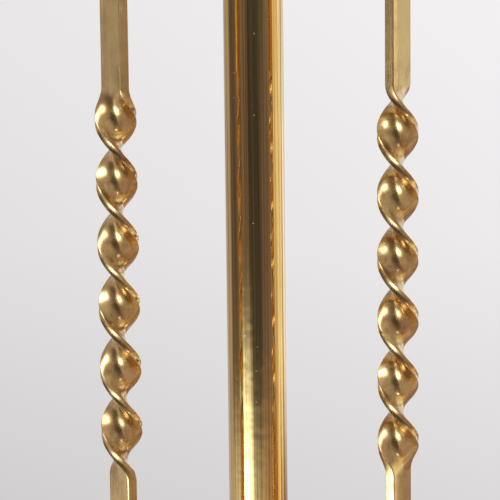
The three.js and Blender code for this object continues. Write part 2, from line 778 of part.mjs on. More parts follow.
add("centre_contact", rod(contactRadius, coreTopHeight, coreTopHeight + contactHeight, smallFacets),
  polishedBrass);

// Switch: a ribbed knob on the spindle
const knobRadius = 6.5;
const knobRibDepth = 0.7;
const knobRibs = 10;
const knobLength = 12;
const knobStandOff = 2;
const knobBoreDepth = 8;
const knobStart = holderCapRadius + knobStandOff;

add("switch_spindle", alongFront(rod(spindleRadius, spindleStart + fitGap, knobStart + knobBoreDepth - fitGap,
  smallFacets)), platedSteel).position.z = spindleHeight;
const knobOutline = new THREE.Shape(evenShares(2 * knobRibs).slice(1).map((share, i) => {
  const angle = 2 * Math.PI * share;
  const radius = knobRadius - knobRibDepth * (i % 2);
  return new THREE.Vector2(radius * Math.cos(angle), radius * Math.sin(angle));
}));
const knobBlank = new THREE.ExtrudeGeometry(knobOutline, { depth: knobLength, bevelEnabled: false });
const knobBore = rod(spindleRadius + fitGap, -cutOverrun, knobBoreDepth, smallFacets);
add("switch_knob", alongFront(cut(knobBlank, knobBore)), blackPlastic).position.set(0, -knobStart, spindleHeight);

// Bulb: a screw base and a frosted glass envelope
const bulbTipRadius = 3.5;
const bulbTipHeight = 2;
const bulbInsulatorRadius = 9;
const bulbInsulatorHeight = 6;
const bulbBaseHeight = 27;
const bulbNeckRadius = 12.4;
const bulbRadius = 30;
const bulbNeckHeight = 12;
const bulbShoulderRadius = 16.5;
const bulbShoulderHeight = 25;
const bulbCentreRise = 52;
const bulbWall = 1;
const bulbBottomHeight = coreTopHeight + contactHeight + fitGap;
const bulbBaseTopHeight = bulbBottomHeight + bulbBaseHeight;

add("bulb_base", turned([
  [0, bulbBottomHeight],
  [bulbTipRadius, bulbBottomHeight],
  [bulbTipRadius, bulbBottomHeight + bulbTipHeight],
  [bulbInsulatorRadius, bulbBottomHeight + bulbTipHeight],
  [bulbBaseRadius, bulbBottomHeight + bulbInsulatorHeight],
  [bulbBaseRadius, bulbBaseTopHeight],
  [0, bulbBaseTopHeight],
], mediumFacets), plainAluminium);
// The envelope's solid form, drawn in by a margin and lengthened below its mouth
const bulbForm = (margin, overrun) => turned([
  [0, bulbBaseTopHeight - overrun],
  [bulbNeckRadius - margin, bulbBaseTopHeight - overrun],
  [bulbNeckRadius - margin, bulbBaseTopHeight + bulbNeckHeight],
  [bulbShoulderRadius - margin, bulbBaseTopHeight + bulbShoulderHeight],
  ...arc(0, bulbBaseTopHeight + bulbCentreRise, bulbRadius - margin, -45, 90, 6),
], mediumFacets);
add("bulb_glass", cut(bulbForm(0, 0), bulbForm(bulbWall, cutOverrun)), frostedGlass);

// Shade: a linen cone on two wire rings, hung on the harp by a three-armed spider
const shadeFacets = 36;
const shadeWall = 1.6;
const shadeWireRadius = 1.5;
const shadeRingInset = 1;
const spiderDrop = 18;
const spiderHubRadius = 12;
const spiderHubThickness = 2;
const spiderHubBottom = harpSeatHeight + fitGap;
const spiderHubTop = spiderHubBottom + spiderHubThickness;
const shadeTopHeight = spiderHubTop + spiderDrop;
const shadeBottomHeight = shadeTopHeight - shadeHeight;
const shadeTaper = (shadeBottomRadius - shadeTopRadius) / shadeHeight;
const shadeRingMargin = shadeWall + (shadeWireRadius + fitGap) * Math.hypot(1, shadeTaper);
const shadeRadiusAt = (height) => shadeBottomRadius - shadeTaper * (height - shadeBottomHeight);
const shadeTopRingHeight = shadeTopHeight - shadeRingInset - shadeWireRadius;
const shadeBottomRingHeight = shadeBottomHeight + shadeRingInset + shadeWireRadius;

add("shade_cover", turnedRing([
  [shadeBottomRadius, shadeBottomHeight],
  [shadeTopRadius, shadeTopHeight],
  [shadeTopRadius - shadeWall, shadeTopHeight],
  [shadeBottomRadius - shadeWall, shadeBottomHeight],
], shadeFacets), naturalLinen);

// A wire ring that follows the inside of the cover at a height
function shadeRing(height) {
  const section = arc(shadeRadiusAt(height) - shadeRingMargin, height, shadeWireRadius, 0, 360, 6).slice(1);
  return turnedRing(section, shadeFacets);
}
const spiderArms = legAngles.map((angle) => wire(
  new THREE.LineCurve3(
    new THREE.Vector3(spiderHubRadius - shadeWireRadius, 0, (spiderHubBottom + spiderHubTop) / 2),
    new THREE.Vector3(shadeRadiusAt(shadeTopRingHeight) - shadeRingMargin, 0, shadeTopRingHeight),
  ), shadeWireRadius, 1, 6).rotateZ(radians(angle)));
const spiderHub = rod(spiderHubRadius, spiderHubBottom, spiderHubTop, mediumFacets);
const spiderHole = rod(studRadius + fitGap, spiderHubBottom - spiderDrop, spiderHubTop + spiderDrop, mediumFacets);
add("shade_spider", cut(joined(shadeRing(shadeTopRingHeight), spiderHub, ...spiderArms), spiderHole),
  polishedBrass);
add("shade_bottom_ring", shadeRing(shadeBottomRingHeight), polishedBrass);

// Finial: a threaded base that climbs the stud, and a ball on it
const finialBaseRadius = 8;
const finialSkirtHeight = 7;
const finialNeckRadius = 4.8;
const finialBaseHeight = 14;
const finialBoreMargin = 0.8;
const finialBallRadius = 11;
const finialBallTopAngle = 72;
const finialTipRadius = 3;
const finialTipHeight = 5;
const finialBottomHeight = spiderHubTop + fitGap;
const finialBaseTopHeight = finialBottomHeight + finialBaseHeight;
const finialBoreTopHeight = harpSeatHeight + studLength + finialBoreMargin;
const finialBoreRadius = studRadius + fitGap;
const finialBallNeckAngle = THREE.MathUtils.radToDeg(Math.acos(finialNeckRadius / finialBallRadius));
const finialBallBottomHeight = finialBaseTopHeight + fitGap;
const finialBallHeight = finialBallBottomHeight + finialBallRadius * Math.sin(radians(finialBallNeckAngle));
const finialTopHeight = finialBallHeight + finialBallRadius + finialTipHeight;

add("finial_base", turned([
  [0, finialBoreTopHeight],
  [finialBoreRadius, finialBoreTopHeight],
  [finialBoreRadius, finialBottomHeight],
  [finialBaseRadius, finialBottomHeight],
  [finialBaseRadius, finialBottomHeight + finialSkirtHeight],
  [finialNeckRadius, finialBaseTopHeight],
  [0, finialBaseTopHeight],
], mediumFacets), polishedBrass);
add("finial_ball", turned([
  [0, finialBallBottomHeight],
  ...arc(0, finialBallHeight, finialBallRadius, -finialBallNeckAngle, finialBallTopAngle, 8),
  ...arc(0, finialTopHeight - finialTipRadius, finialTipRadius, -40, 90, 3),
], mediumFacets), polishedBrass);

export default lamp;
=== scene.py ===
import functools
import math

import bmesh
import bpy
from mathutils import Matrix, Vector


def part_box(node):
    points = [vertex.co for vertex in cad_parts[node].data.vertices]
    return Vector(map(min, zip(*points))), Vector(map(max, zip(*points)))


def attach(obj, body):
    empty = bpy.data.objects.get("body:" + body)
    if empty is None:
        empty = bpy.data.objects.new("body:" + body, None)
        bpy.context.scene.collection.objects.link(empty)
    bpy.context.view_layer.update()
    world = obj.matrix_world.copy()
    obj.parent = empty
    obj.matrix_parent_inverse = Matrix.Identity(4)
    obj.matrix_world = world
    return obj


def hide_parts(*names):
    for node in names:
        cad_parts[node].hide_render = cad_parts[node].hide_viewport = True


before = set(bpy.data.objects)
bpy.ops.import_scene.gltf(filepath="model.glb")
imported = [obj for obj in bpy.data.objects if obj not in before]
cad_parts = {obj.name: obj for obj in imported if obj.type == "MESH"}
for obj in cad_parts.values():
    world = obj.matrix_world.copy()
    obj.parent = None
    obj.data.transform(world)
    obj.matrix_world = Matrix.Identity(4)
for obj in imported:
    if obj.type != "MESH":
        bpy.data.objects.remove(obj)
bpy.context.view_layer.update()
scene = bpy.context.scene
scene.view_settings.view_transform = "Standard"

# Camera
# A long lens at chest height looks down a little at the middle of the column, where the bars are twisted.
# The picture is 500 pixels square, and the lens is worked out from its focal length in those pixels.
picture_width = 500
focal_pixels = 2381.6
camera_place = (-0.0486, -1.5049, 0.9551)
camera_pitch = math.radians(9.15)
camera_yaw = math.radians(1.71)
camera_roll = math.radians(-0.67)
lens_data = bpy.data.cameras.new("portrait_lens")
lens_data.sensor_width = 36
lens_data.lens = lens_data.sensor_width * focal_pixels / picture_width
lens_data.clip_end = 60
camera = bpy.data.objects.new("camera", lens_data)
camera.matrix_world = (
    Matrix.Translation(camera_place)
    @ Matrix.Rotation(-camera_yaw, 4, "Z")
    @ Matrix.Rotation(math.pi / 2 - camera_pitch, 4, "X")
    @ Matrix.Rotation(camera_roll, 4, "Z")
)
scene.collection.objects.link(camera)
scene.camera = camera


# Room
# A pale wall is behind the lamp. Polished brass shows the room round the camera: a dark doorway behind it,
# shelves at both sides, a tall window at the right, and a high one and sun on the floor at the left.
def add_node(tree, kind, *first, **named):
    """Adds a node of a kind, which an operation may follow. Its first inputs take what is given in order,
    and None leaves one as it is. Names in small letters are settings, and the others are inputs. A node that
    is given stands for its first output."""
    kind, _, operation = kind.partition(" ")
    made = tree.nodes.new(kind if "Node" in kind else "ShaderNode" + kind)
    if operation:
        made.operation = operation
    inputs = dict(enumerate(first))
    for name, value in named.items():
        if name.islower():
            setattr(made, name, value)
        else:
            inputs[name.replace("_", " ")] = value
    for socket, value in inputs.items():
        if isinstance(value, bpy.types.Node):
            value = value.outputs[0]
        if isinstance(value, bpy.types.NodeSocket):
            tree.links.new(value, made.inputs[socket])
        elif value is not None:
            made.inputs[socket].default_value = value
    return made


def linear(shade):
    """An sRGB colour such as "#c9a153" as the linear colour that nodes take."""
    parts = [int(shade[i : i + 2], 16) / 255 for i in (1, 3, 5)]
    return (*[p / 12.92 if p <= 0.04045 else ((p + 0.055) / 1.055) ** 2.4 for p in parts], 1.0)


def fill_ramp(ramp, stops):
    """Sets a colour ramp's stops. Each is a share of the way and a level of grey, or levels of red, green
    and blue."""
    while len(ramp.elements) > 1:
        ramp.elements.remove(ramp.elements[0])
    for i, (share, *levels) in enumerate(stops):
        stop = ramp.elements[0] if i == 0 else ramp.elements.new(share)
        stop.position = share
        stop.color = (*levels * (3 // len(levels)), 1)


def stretched_noise(add, place, counts, **settings):
    """Noise that is drawn out, by how many of its grains go to a unit of length along X, Y and Z."""
    drawn_out = add("VectorMath MULTIPLY", place, counts)
    return add("TexNoise", drawn_out, Scale=1.0, **settings)


world = bpy.data.worlds.new("studio_room")
world.use_nodes = True
scene.world = world
world.node_tree.nodes.clear()
add_air = functools.partial(add_node, world.node_tree)
direction = add_air("TexCoord")
across = add_air("SeparateXYZ", direction).outputs
rise = add_air("Math ARCSINE", across["Z"])
front = add_air("Math MULTIPLY", across["Y"], -1.0)
bearing = add_air("Math ARCTAN2", across["X"], front)
# a map range takes a value, the two ends that it lies between, and what they become, or else 0 and 1. This
# one is a share of a turn: 0.25 is the left, 0.5 the camera's side, 0.75 the right, and 0 and 1 the wall
turn_share = add_air("MapRange", bearing, -math.pi, math.pi)
# a share of the way from straight down to straight up
rise_share = add_air("MapRange", rise, -math.pi / 2, math.pi / 2)

# the room at eye level, round from behind the lamp: a pale wall, brown shelves, the dark behind the camera,
# more shelves, and a tall window
eye_level = add_air("ValToRGB", turn_share)
fill_ramp(eye_level.color_ramp, [
    (0.0, 0.60, 0.58, 0.60),
    (0.08, 0.50, 0.46, 0.46),
    (0.135, 0.36, 0.30, 0.25),
    (0.15, 0.42, 0.40, 0.40),
    (0.175, 0.40, 0.38, 0.38),
    (0.20, 0.14, 0.12, 0.12),
    (0.26, 0.12, 0.10, 0.10),
    (0.33, 0.19, 0.15, 0.14),
    (0.41, 0.15, 0.12, 0.12),
    (0.44, 0.07, 0.06, 0.06),
    (0.47, 0.045, 0.04, 0.05),
    (0.53, 0.055, 0.045, 0.05),
    (0.57, 0.12, 0.10, 0.12),
    (0.64, 0.20, 0.16, 0.16),
    (0.70, 0.22, 0.17, 0.12),
    (0.712, 0.66, 0.56, 0.38),
    (0.755, 0.74, 0.66, 0.46),
    (0.765, 1.0, 0.96, 0.82),
    (0.825, 1.0, 0.97, 0.86),
    (0.834, 0.48, 0.49, 0.42),
    (0.854, 0.48, 0.49, 0.42),
    (0.862, 0.96, 0.96, 0.96),
    (0.90, 0.86, 0.88, 0.92),
    (1.0, 0.78, 0.77, 0.80),
])
# the same room low down, where a board floor catches the light
low_down = add_air("ValToRGB", turn_share)
fill_ramp(low_down.color_ramp, [
    (0.0, 0.50, 0.48, 0.50),
    (0.22, 0.42, 0.37, 0.34),
    (0.45, 0.36, 0.32, 0.28),
    (0.60, 0.40, 0.31, 0.24),
    (0.69, 0.42, 0.28, 0.17),
    (0.71, 0.30, 0.14, 0.06),
    (0.725, 0.30, 0.14, 0.06),
    (0.735, 0.86, 0.70, 0.36),
    (0.77, 0.90, 0.72, 0.40),
    (0.782, 0.28, 0.18, 0.15),
    (0.805, 0.32, 0.22, 0.18),
    (0.815, 0.80, 0.74, 0.66),
    (0.833, 0.26, 0.13, 0.10),
    (0.87, 0.28, 0.17, 0.14),
    (1.0, 0.60, 0.58, 0.60),
])
# low down, pale walls higher up and a paler ceiling: the rise where each sets in and is full, and its colour
room_colour = eye_level
for start, full, colour in (
    (0.4345, 0.414, low_down),
    (0.555, 0.63, (0.36, 0.33, 0.32, 1)),
    (0.70, 0.85, (0.55, 0.54, 0.52, 1)),
):
    share = add_air("MapRange", rise_share, start, full)
    room_colour = add_air("MixRGB", share, room_colour, colour)

# soft-edged patches of another brightness, in degrees round and up from eye level: a middle, a reach to each
# side, the rises where the patch begins, is full, starts to fade and has gone, its level and its colour
room_patches = [
    # a dark doorway behind the camera
    (-4, 30, (-19, -12, 16, 34), 0.06, "#ffffff"),
    # paler boards round the sun on the floor at the left, and the sun itself, whitest in its middle
    (-52, 92, (-24, -18, -16.5, -12), 1.25, "#f4fbff"),
    (-46, 36, (-40, -19, -18.5, -9.8), 5.0, "#eafaff"),
    (-46, 22, (-34, -20, -19, -12.5), 8.0, "#d8e4ff"),
    # a rosy rug, further down at the right
    (50, 110, (-80, -62, -30, -19), 0.40, "#ffe9ec"),
    # a high window at the left, and a small lamp at the right
    (-70, 36, (28, 44, 66, 86), 6.0, "#e6f0ff"),
    (62, 9, (1, 4, 6, 10), 5.0, "#f0f0ff"),
]
for middle, reach, rises, level, colour in room_patches:
    away = add_air("Math SUBTRACT", turn_share, middle / 360 + 0.5)
    away = add_air("Math ABSOLUTE", away)
    to_side = add_air("MapRange", away, reach / 360, 0.0, interpolation_type="SMOOTHSTEP")
    by_rise = add_air("ValToRGB", rise_share)
    fill_ramp(by_rise.color_ramp, [(up / 180 + 0.5, full) for up, full in zip(rises, (0, 1, 1, 0))])
    by_rise.color_ramp.interpolation = "EASE"
    patch_share = add_air("Math MULTIPLY", to_side, by_rise)
    patch = [level * part for part in linear(colour)[:3]]
    room_colour = add_air("MixRGB", patch_share, room_colour, (*patch, 1))

# what the camera sees behind the lamp: a pale wall, lighter at the top and to the right
wall_rise = add_air("MapRange", across["Z"], -0.30, 0.0)
wall_shade = add_air("ValToRGB", wall_rise)
fill_ramp(wall_shade.color_ramp, [(0.0, 0.60), (0.13, 0.67), (0.48, 0.80), (0.83, 0.855)])
side_share = add_air("MapRange", across["X"], -0.12, 0.14, -0.052, 0.052)
wall_level = add_air("Math ADD", wall_shade, side_share)
wall_colour = add_air("MixRGB", 1.0, (1.0, 0.972, 0.978, 1), wall_level, blend_type="MULTIPLY")

# the things in the room are tall and narrow, some lighter and some darker, and none near floor or ceiling
things = stretched_noise(add_air, direction, (11.0, 11.0, 6.0), Detail=2.5, Roughness=0.6)
thing_level = add_air("MapRange", things, 0.38, 0.62, 0.65, 1.35)
steepness = add_air("Math ABSOLUTE", across["Z"])
bare_share = add_air("MapRange", steepness, 0.28, 0.45)
room_level = add_air("Mix", bare_share, None, thing_level, 1.0)
# metal shows the room, the eye and glass see the wall, and everything else is lit by one even light
plain_light = add_air("Background", (0.62, 0.61, 0.60, 1), 1.0)
room_light = add_air("Background", room_colour, room_level)
wall_light = add_air("Background", wall_colour, 1.0)
light_path = add_air("LightPath").outputs
seen_in_metal = add_air("MixShader", light_path["Is Glossy Ray"], plain_light, room_light)
seen_in_glass = add_air("MixShader", light_path["Is Transmission Ray"], seen_in_metal, wall_light)
seen_by_eye = add_air("MixShader", light_path["Is Camera Ray"], seen_in_glass, wall_light)
add_air("OutputWorld", seen_by_eye)


# Floor
# A pale round of it lies under the lamp. It fades into the wall's colour, so that there is no horizon.
def mesh_of(shape, name, *materials):
    """A mesh of a finished shape, with its materials."""
    mesh = bpy.data.meshes.new(name)
    shape.to_mesh(mesh)
    shape.free()
    for material in materials:
        mesh.materials.append(material)
    return mesh


def show(mesh):
    """Shows a mesh as a piece of its own, under the mesh's name."""
    piece = bpy.data.objects.new(mesh.name, mesh)
    scene.collection.objects.link(piece)
    return piece


def started(name):
    """A new material, and a function that adds nodes to its empty tree."""
    made = bpy.data.materials.new(name)
    made.use_nodes = True
    made.node_tree.nodes.clear()
    return made, functools.partial(add_node, made.node_tree)


floor_radius = 1.5
fade_start = 0.45
fade_end = floor_radius * 0.97
floor_paint, add_paint = started("pale_floor")
place = add_paint("TexCoord").outputs["Object"]
reach = add_paint("VectorMath LENGTH", place).outputs["Value"]
fade = add_paint("MapRange", reach, fade_start, fade_end, 1.0, 0.0, interpolation_type="SMOOTHSTEP")
matt = add_paint("BsdfDiffuse", (0.80, 0.79, 0.795, 1))
clear = add_paint("BsdfTransparent")
faded = add_paint("MixShader", fade, clear, matt)
add_paint("OutputMaterial", faded)
floor_shape = bmesh.new()
bmesh.ops.create_circle(floor_shape, cap_ends=True, segments=96, radius=floor_radius)
floor = show(mesh_of(floor_shape, "floor", floor_paint))
floor.visible_glossy = False


# Lamps
# One large soft box stands overhead and a weaker one at the front left. The brass doesn't show them, because
# the room above already has their glow in it.
def soft_box(name, place, aim, width, power):
    data = bpy.data.lights.new(name, "AREA")
    data.shape = "SQUARE"
    data.size = width
    data.energy = power
    box = bpy.data.objects.new(name, data)
    box.location = place
    box.rotation_euler = (Vector(aim) - Vector(place)).to_track_quat("-Z", "Y").to_euler()
    box.visible_glossy = False
    scene.collection.objects.link(box)


soft_box("overhead_box", (-0.6, -0.9, 3.6), (0, 0, 0.6), 2.2, 55)
soft_box("front_box", (-2.4, -2.4, 2.0), (0, 0, 0.9), 1.4, 22)


# Legs
# Each leg is one length of flat brass bar, 25 by 6.5 mm. It was heated and twisted three turns to the left
# at its middle, then bent over formers at the foot and under the hub, and polished.
def span(node):
    """A CAD node's bottom, its top and how far it reaches to the right."""
    low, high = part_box(node)
    return low.z, high.z, high.x


bar_width = 0.025
bar_thickness = 0.0065
bar_corner = 0.0005
bar_edge_share = 0.88
cage_radius = 0.1
upright_bottom = 0.2
upright_top = 1.05
sweep_radius = 0.2
sweep_lean = math.radians(35)
toe_bend_radius = 0.045
toe_length = 0.032
top_bend_radius = 0.05
tab_inner_radius = 0.0126
twist_turns = 3.0
twist_length = 0.246
twist_middle = 0.7
twist_bottom = twist_middle - twist_length / 2
twist_ease = 0.012
twist_step = 0.00125
bend_step = math.radians(2.5)
toe_steps = 16
leg_angles = [math.radians(a) for a in (90, 210, 330)]
_, glide_top, glide_radius = span("foot_glide_1")


def bend(centre_out, centre_up, radius, start, end):
    """Points round a bend between two leans of the bar, in even steps. One below zero bends inwards."""
    steps = round(abs(end - start) / bend_step)
    leans = [start + (end - start) * i / steps for i in range(steps + 1)]
    return [(centre_out - radius * math.cos(lean), centre_up - radius * math.sin(lean)) for lean in leans]


def leg_centre_line():
    """The bar's middle from the toe to the tab, as distances from the column's axis and heights."""
    upright, flat = 0, math.pi / 2
    along, aslant = math.cos(sweep_lean), math.sin(sweep_lean)
    toe_height = glide_top + bar_thickness / 2
    sweep_centre = cage_radius + sweep_radius
    slope_drop = upright_bottom - sweep_radius * aslant - toe_height - toe_bend_radius * (1 - aslant)
    slope_reach = slope_drop * aslant / along
    toe_bend_centre = sweep_centre + slope_reach + (toe_bend_radius - sweep_radius) * along
    toe_end = toe_bend_centre + toe_length
    toe_turns = [flat * i / toe_steps for i in range(toe_steps + 1)]
    steps = round(twist_length / twist_step)
    return [
        *((toe_end - (bar_width / 2) * (1 - math.cos(turn)), toe_height) for turn in toe_turns),
        *bend(toe_bend_centre, toe_height + toe_bend_radius, toe_bend_radius, flat, sweep_lean),
        *bend(sweep_centre, upright_bottom, sweep_radius, sweep_lean, upright),
        *((cage_radius, twist_bottom + twist_length * i / steps) for i in range(steps + 1)),
        *bend(cage_radius - top_bend_radius, upright_top, -top_bend_radius, upright, flat),
        (tab_inner_radius, upright_top + top_bend_radius),
    ]


def started_tree(name, *labels):
    """A new geometry tree with geometry in and out, an input for each label and one for the material.
    Returns the tree, a function that adds nodes to it, and what it is given."""
    tree = bpy.data.node_groups.new(name, "GeometryNodeTree")
    for way in ("INPUT", "OUTPUT"):
        tree.interface.new_socket("Geometry", in_out=way, socket_type="NodeSocketGeometry")
    kinds = {"Count": "Int", "Sides": "Int", "Material": "Material"}
    for label in (*labels, "Material"):
        kind = "NodeSocket" + kinds.get(label, "Float")
        tree.interface.new_socket(label, in_out="INPUT", socket_type=kind)
    add = functools.partial(add_node, tree)
    return tree, add, add("NodeGroupInput").outputs


def end_tree(add, given, geometry):
    """Puts the material on what a tree has made, and gives it out."""
    add("NodeGroupOutput", add("GeometryNodeSetMaterial", geometry, Material=given["Material"]))


def twisted_bar_tree():
    """Sweeps a rounded flat section along a centre line, and turns it by the twist on the way up."""
    tree, add, given = started_tree(
        "twisted_flat_bar", "Width", "Thickness", "Corner", "Edge share", "Twist bottom", "Twist length",
        "Ease", "Turns", "Toe centre", "Leg angle",
    )
    place = add("SeparateXYZ", add("GeometryNodeInputPosition")).outputs
    run = add("Math SUBTRACT", place["Z"], given["Twist bottom"])
    steady = add("Math SUBTRACT", given["Twist length"], given["Ease"])

    def slow_start(distance):
        """A distance that starts slowly: nothing below zero, quadratic over the ease, then steady."""
        above = add("Math MAXIMUM", distance, 0.0)
        start = add("Math MINIMUM", above, given["Ease"])
        square = add("Math MULTIPLY", start, start)
        double = add("Math MULTIPLY", given["Ease"], 2.0)
        curve = add("Math DIVIDE", square, double)
        after = add("Math SUBTRACT", above, start)
        return add("Math ADD", curve, after)

    late_run = add("Math SUBTRACT", run, steady)
    turned_run = add("Math SUBTRACT", slow_start(run), slow_start(late_run))
    whole_turn = add("Math MULTIPLY", given["Turns"], -2 * math.pi)
    rate = add("Math DIVIDE", whole_turn, steady)
    tilt = add("Math MULTIPLY", turned_run, rate)
    line = add("GeometryNodeMeshToCurve", given["Geometry"])
    line = add("GeometryNodeSetCurveNormal", line, Normal=(0.0, 1.0, 0.0), mode="FREE")
    line = add("GeometryNodeSetCurveTilt", line, Tilt=tilt)
    section_cuts = 6
    size = {"Width": given["Width"], "Height": given["Thickness"]}
    section = add("GeometryNodeCurvePrimitiveQuadrilateral", **size)
    section = add("GeometryNodeSubdivideCurve", section, Cuts=section_cuts)
    rounding = {"Radius": given["Corner"], "Limit_Radius": True, "Count": 1}
    section = add("GeometryNodeFilletCurve", section, mode="POLY", **rounding)
    # the polishing wheel has worn the bar down a little towards one of its edges
    edge = add("Math MULTIPLY", given["Width"], -0.5)
    worn_start = add("Math MULTIPLY", given["Width"], 1 / (section_cuts + 1) - 0.5)
    corner = add("SeparateXYZ", add("GeometryNodeInputPosition")).outputs
    worn = add("MapRange", corner["X"], worn_start, edge, 1.0, given["Edge share"])
    depth = add("Math MULTIPLY", corner["Y"], worn)
    worn_place = add("CombineXYZ", corner["X"], depth)
    section = add("GeometryNodeSetPosition", section, Position=worn_place)
    bar = add("GeometryNodeCurveToMesh", line, section, Fill_Caps=True)
    bar = add("GeometryNodeMergeByDistance", bar, Distance=1e-5)
    # the toe is ground round: past its centre the bar narrows along a circle, not quite to a point
    last_share = 0.995
    spot = add("SeparateXYZ", add("GeometryNodeInputPosition")).outputs
    beyond = add("Math SUBTRACT", spot["X"], given["Toe centre"])
    past = add("Math MAXIMUM", beyond, 0.0)
    half = add("Math MULTIPLY", given["Width"], 0.5)
    share = add("Math DIVIDE", past, half)
    share = add("Math MINIMUM", share, last_share)
    square = add("Math MULTIPLY", share, share)
    rest = add("Math SUBTRACT", 1.0, square)
    narrow = add("Math SQRT", rest)
    side = add("Math MULTIPLY", spot["Y"], narrow)
    ground_place = add("CombineXYZ", spot["X"], side, spot["Z"])
    bar = add("GeometryNodeSetPosition", bar, Position=ground_place)
    turn = add("CombineXYZ", Z=given["Leg angle"])
    bar = add("GeometryNodeTransform", bar, Rotation=turn)
    end_tree(add, given, bar)
    return tree


def line_mesh(name, points, closed=False):
    """A mesh of edges alone, through points."""
    edges = [(k, k + 1) for k in range(len(points) - 1)]
    if closed:
        edges.append((len(points) - 1, 0))
    mesh = bpy.data.meshes.new(name)
    mesh.from_pydata(points, edges, [])
    return mesh


def modified(carrier, name):
    """The mesh that an object's modifiers make of it. The object itself is used up."""
    bpy.context.view_layer.update()
    seen = carrier.evaluated_get(bpy.context.evaluated_depsgraph_get())
    mesh = bpy.data.meshes.new_from_object(seen)
    mesh.name = name
    bpy.data.objects.remove(carrier)
    return mesh


def grown(name, seed, tree, material, **values):
    """The mesh that a geometry tree makes from a seed mesh."""
    carrier = show(seed)
    growth = carrier.modifiers.new("growth", "NODES")
    growth.node_group = tree
    ids = {item.name: item.identifier for item in tree.interface.items_tree if item.in_out == "INPUT"}
    growth[ids["Material"]] = material
    for label, value in values.items():
        growth[ids[label.replace("_", " ")]] = value
    return modified(carrier, name)


def smooth(mesh, sharp_degrees=35):
    """Shades a mesh smooth, apart from its sharp edges."""
    mesh.shade_smooth()
    mesh.set_sharp_from_angle(angle=math.radians(sharp_degrees))
    return mesh


def settle(mesh, slot, *nodes, body="stand"):
    """Shows a mesh as a piece on its body, in place of its CAD nodes. The finish slot that it is given is
    not used.
    """
    piece = show(mesh)
    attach(piece, body)
    if nodes:
        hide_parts(*nodes)
    return piece


def in_millimetres(add):
    """Where a point of the object is, in millimetres."""
    place = add("TexCoord").outputs["Object"]
    return add("VectorMath MULTIPLY", place, (1000.0, 1000.0, 1000.0))


def brass(name, colour, dull_colour, roughness, wear, pit_size, grain, ripple_size=9.0, ripple=0.05,
          lacquer=0.5, bloom_size=34.0, heated=None):
    """Polished brass. colour and dull_colour are the clean and the tarnished metal, wear is how much the
    polish has gone, over clouds of a bloom_size in mm, and pit_size the spacing of casting and polishing
    pits in mm. grain is the spacing of hairline scratches in mm along X, Y and Z, and ripple how deep the
    polishing wheel's waves are, ripple_size mm apart. heated is the middle and half the length, in mm of
    height, of a part that has been in the fire, where the tarnish has come back most."""
    made, add = started(name)
    in_mm = in_millimetres(add)
    hair = stretched_noise(add, in_mm, [1 / g for g in grain], Detail=3.0, Roughness=0.7)
    bloom = add("TexNoise", in_mm, Scale=1 / bloom_size, Detail=5.0, Roughness=0.62)
    streaked = add("Mix", 0.3, None, bloom, hair)
    bloom_share = add("MapRange", streaked, 0.42, 0.68, 0.0, wear)
    if heated:
        middle, half_length = heated
        height = add("SeparateXYZ", in_mm).outputs["Z"]
        to_middle = add("Math SUBTRACT", height, middle)
        to_middle = add("Math ABSOLUTE", to_middle)
        fire = add("MapRange", to_middle, half_length * 1.25, half_length * 0.8, 0.45, 1.0)
        bloom_share = add("Math MULTIPLY", bloom_share, fire)
    tint = add("MixRGB", bloom_share, linear(colour), linear(dull_colour))
    # pits: a few of the cells of a fine pattern hold one small round hollow each
    cells = add("TexVoronoi", in_mm, Scale=1 / pit_size).outputs
    lot = add("SeparateColor", cells["Color"])
    chosen = add("Math GREATER_THAN", lot, 0.6)
    hollow = add("MapRange", cells["Distance"], 0.085, 0.03)
    pits = add("Math MULTIPLY", hollow, chosen)
    waves = add("TexNoise", in_mm, Scale=1 / ripple_size, Detail=1.0)
    haze = add("MapRange", hair, 0.35, 0.8, roughness, roughness * 1.25)
    dulled = add("Math MULTIPLY", bloom_share, 0.12)
    haze = add("Math ADD", haze, dulled)
    soft = add("Bump", Height=waves, Strength=ripple, Distance=0.001)
    fine = add("Bump", Height=hair, Strength=0.02, Distance=0.0001, Normal=soft)
    pitted = add("Bump", Height=pits, Strength=0.5, Distance=0.0002, Normal=fine, invert=True)
    coat = {"Coat_Weight": lacquer, "Coat_Roughness": 0.03}
    metal = add("BsdfPrincipled", tint, Metallic=1.0, Roughness=haze, Normal=pitted, **coat)
    add("OutputMaterial", metal)
    return made


# rolled bar keeps small pits from its casting, and the twist leaves the polish a little uneven
bar_brass = brass(
    "rolled_brass_bar", "#f3d08c", "#9c6446", 0.19, 0.85, 4.0, (2.5, 2.5, 40.0), ripple_size=6.0,
    ripple=0.07, lacquer=0.2, bloom_size=14.0, heated=(1000 * twist_middle, 1000 * twist_length / 2),
)
line_points = leg_centre_line()
toe_centre = line_points[0][0] - bar_width / 2
bar_tree = twisted_bar_tree()
bar_line = line_mesh("leg_centre_line", [(out, 0, up) for out, up in line_points])
for i, angle in enumerate(leg_angles, 1):
    leg = grown(
        f"twisted_leg_{i}", bar_line, bar_tree, bar_brass, Width=bar_width, Thickness=bar_thickness,
        Corner=bar_corner, Edge_share=bar_edge_share, Twist_bottom=twist_bottom, Twist_length=twist_length,
        Ease=twist_ease, Turns=twist_turns, Toe_centre=toe_centre, Leg_angle=angle,
    )
    settle(smooth(leg), "brass", f"leg_{i}")


# Feet
# A moulded rubber glide stands under each toe. A domed brass screw with one slot comes down through the bar
# and holds it.
glide_neck_radius = 0.0115
glide_side = 0.002
glide_hollow_radius = 0.008
glide_hollow_depth = 0.0007
glide_hole_depth = 0.005
foot_shank_radius = 0.0025
foot_shank_length = 0.0107
foot_head_radius = 0.007
foot_head_height = 0.0036


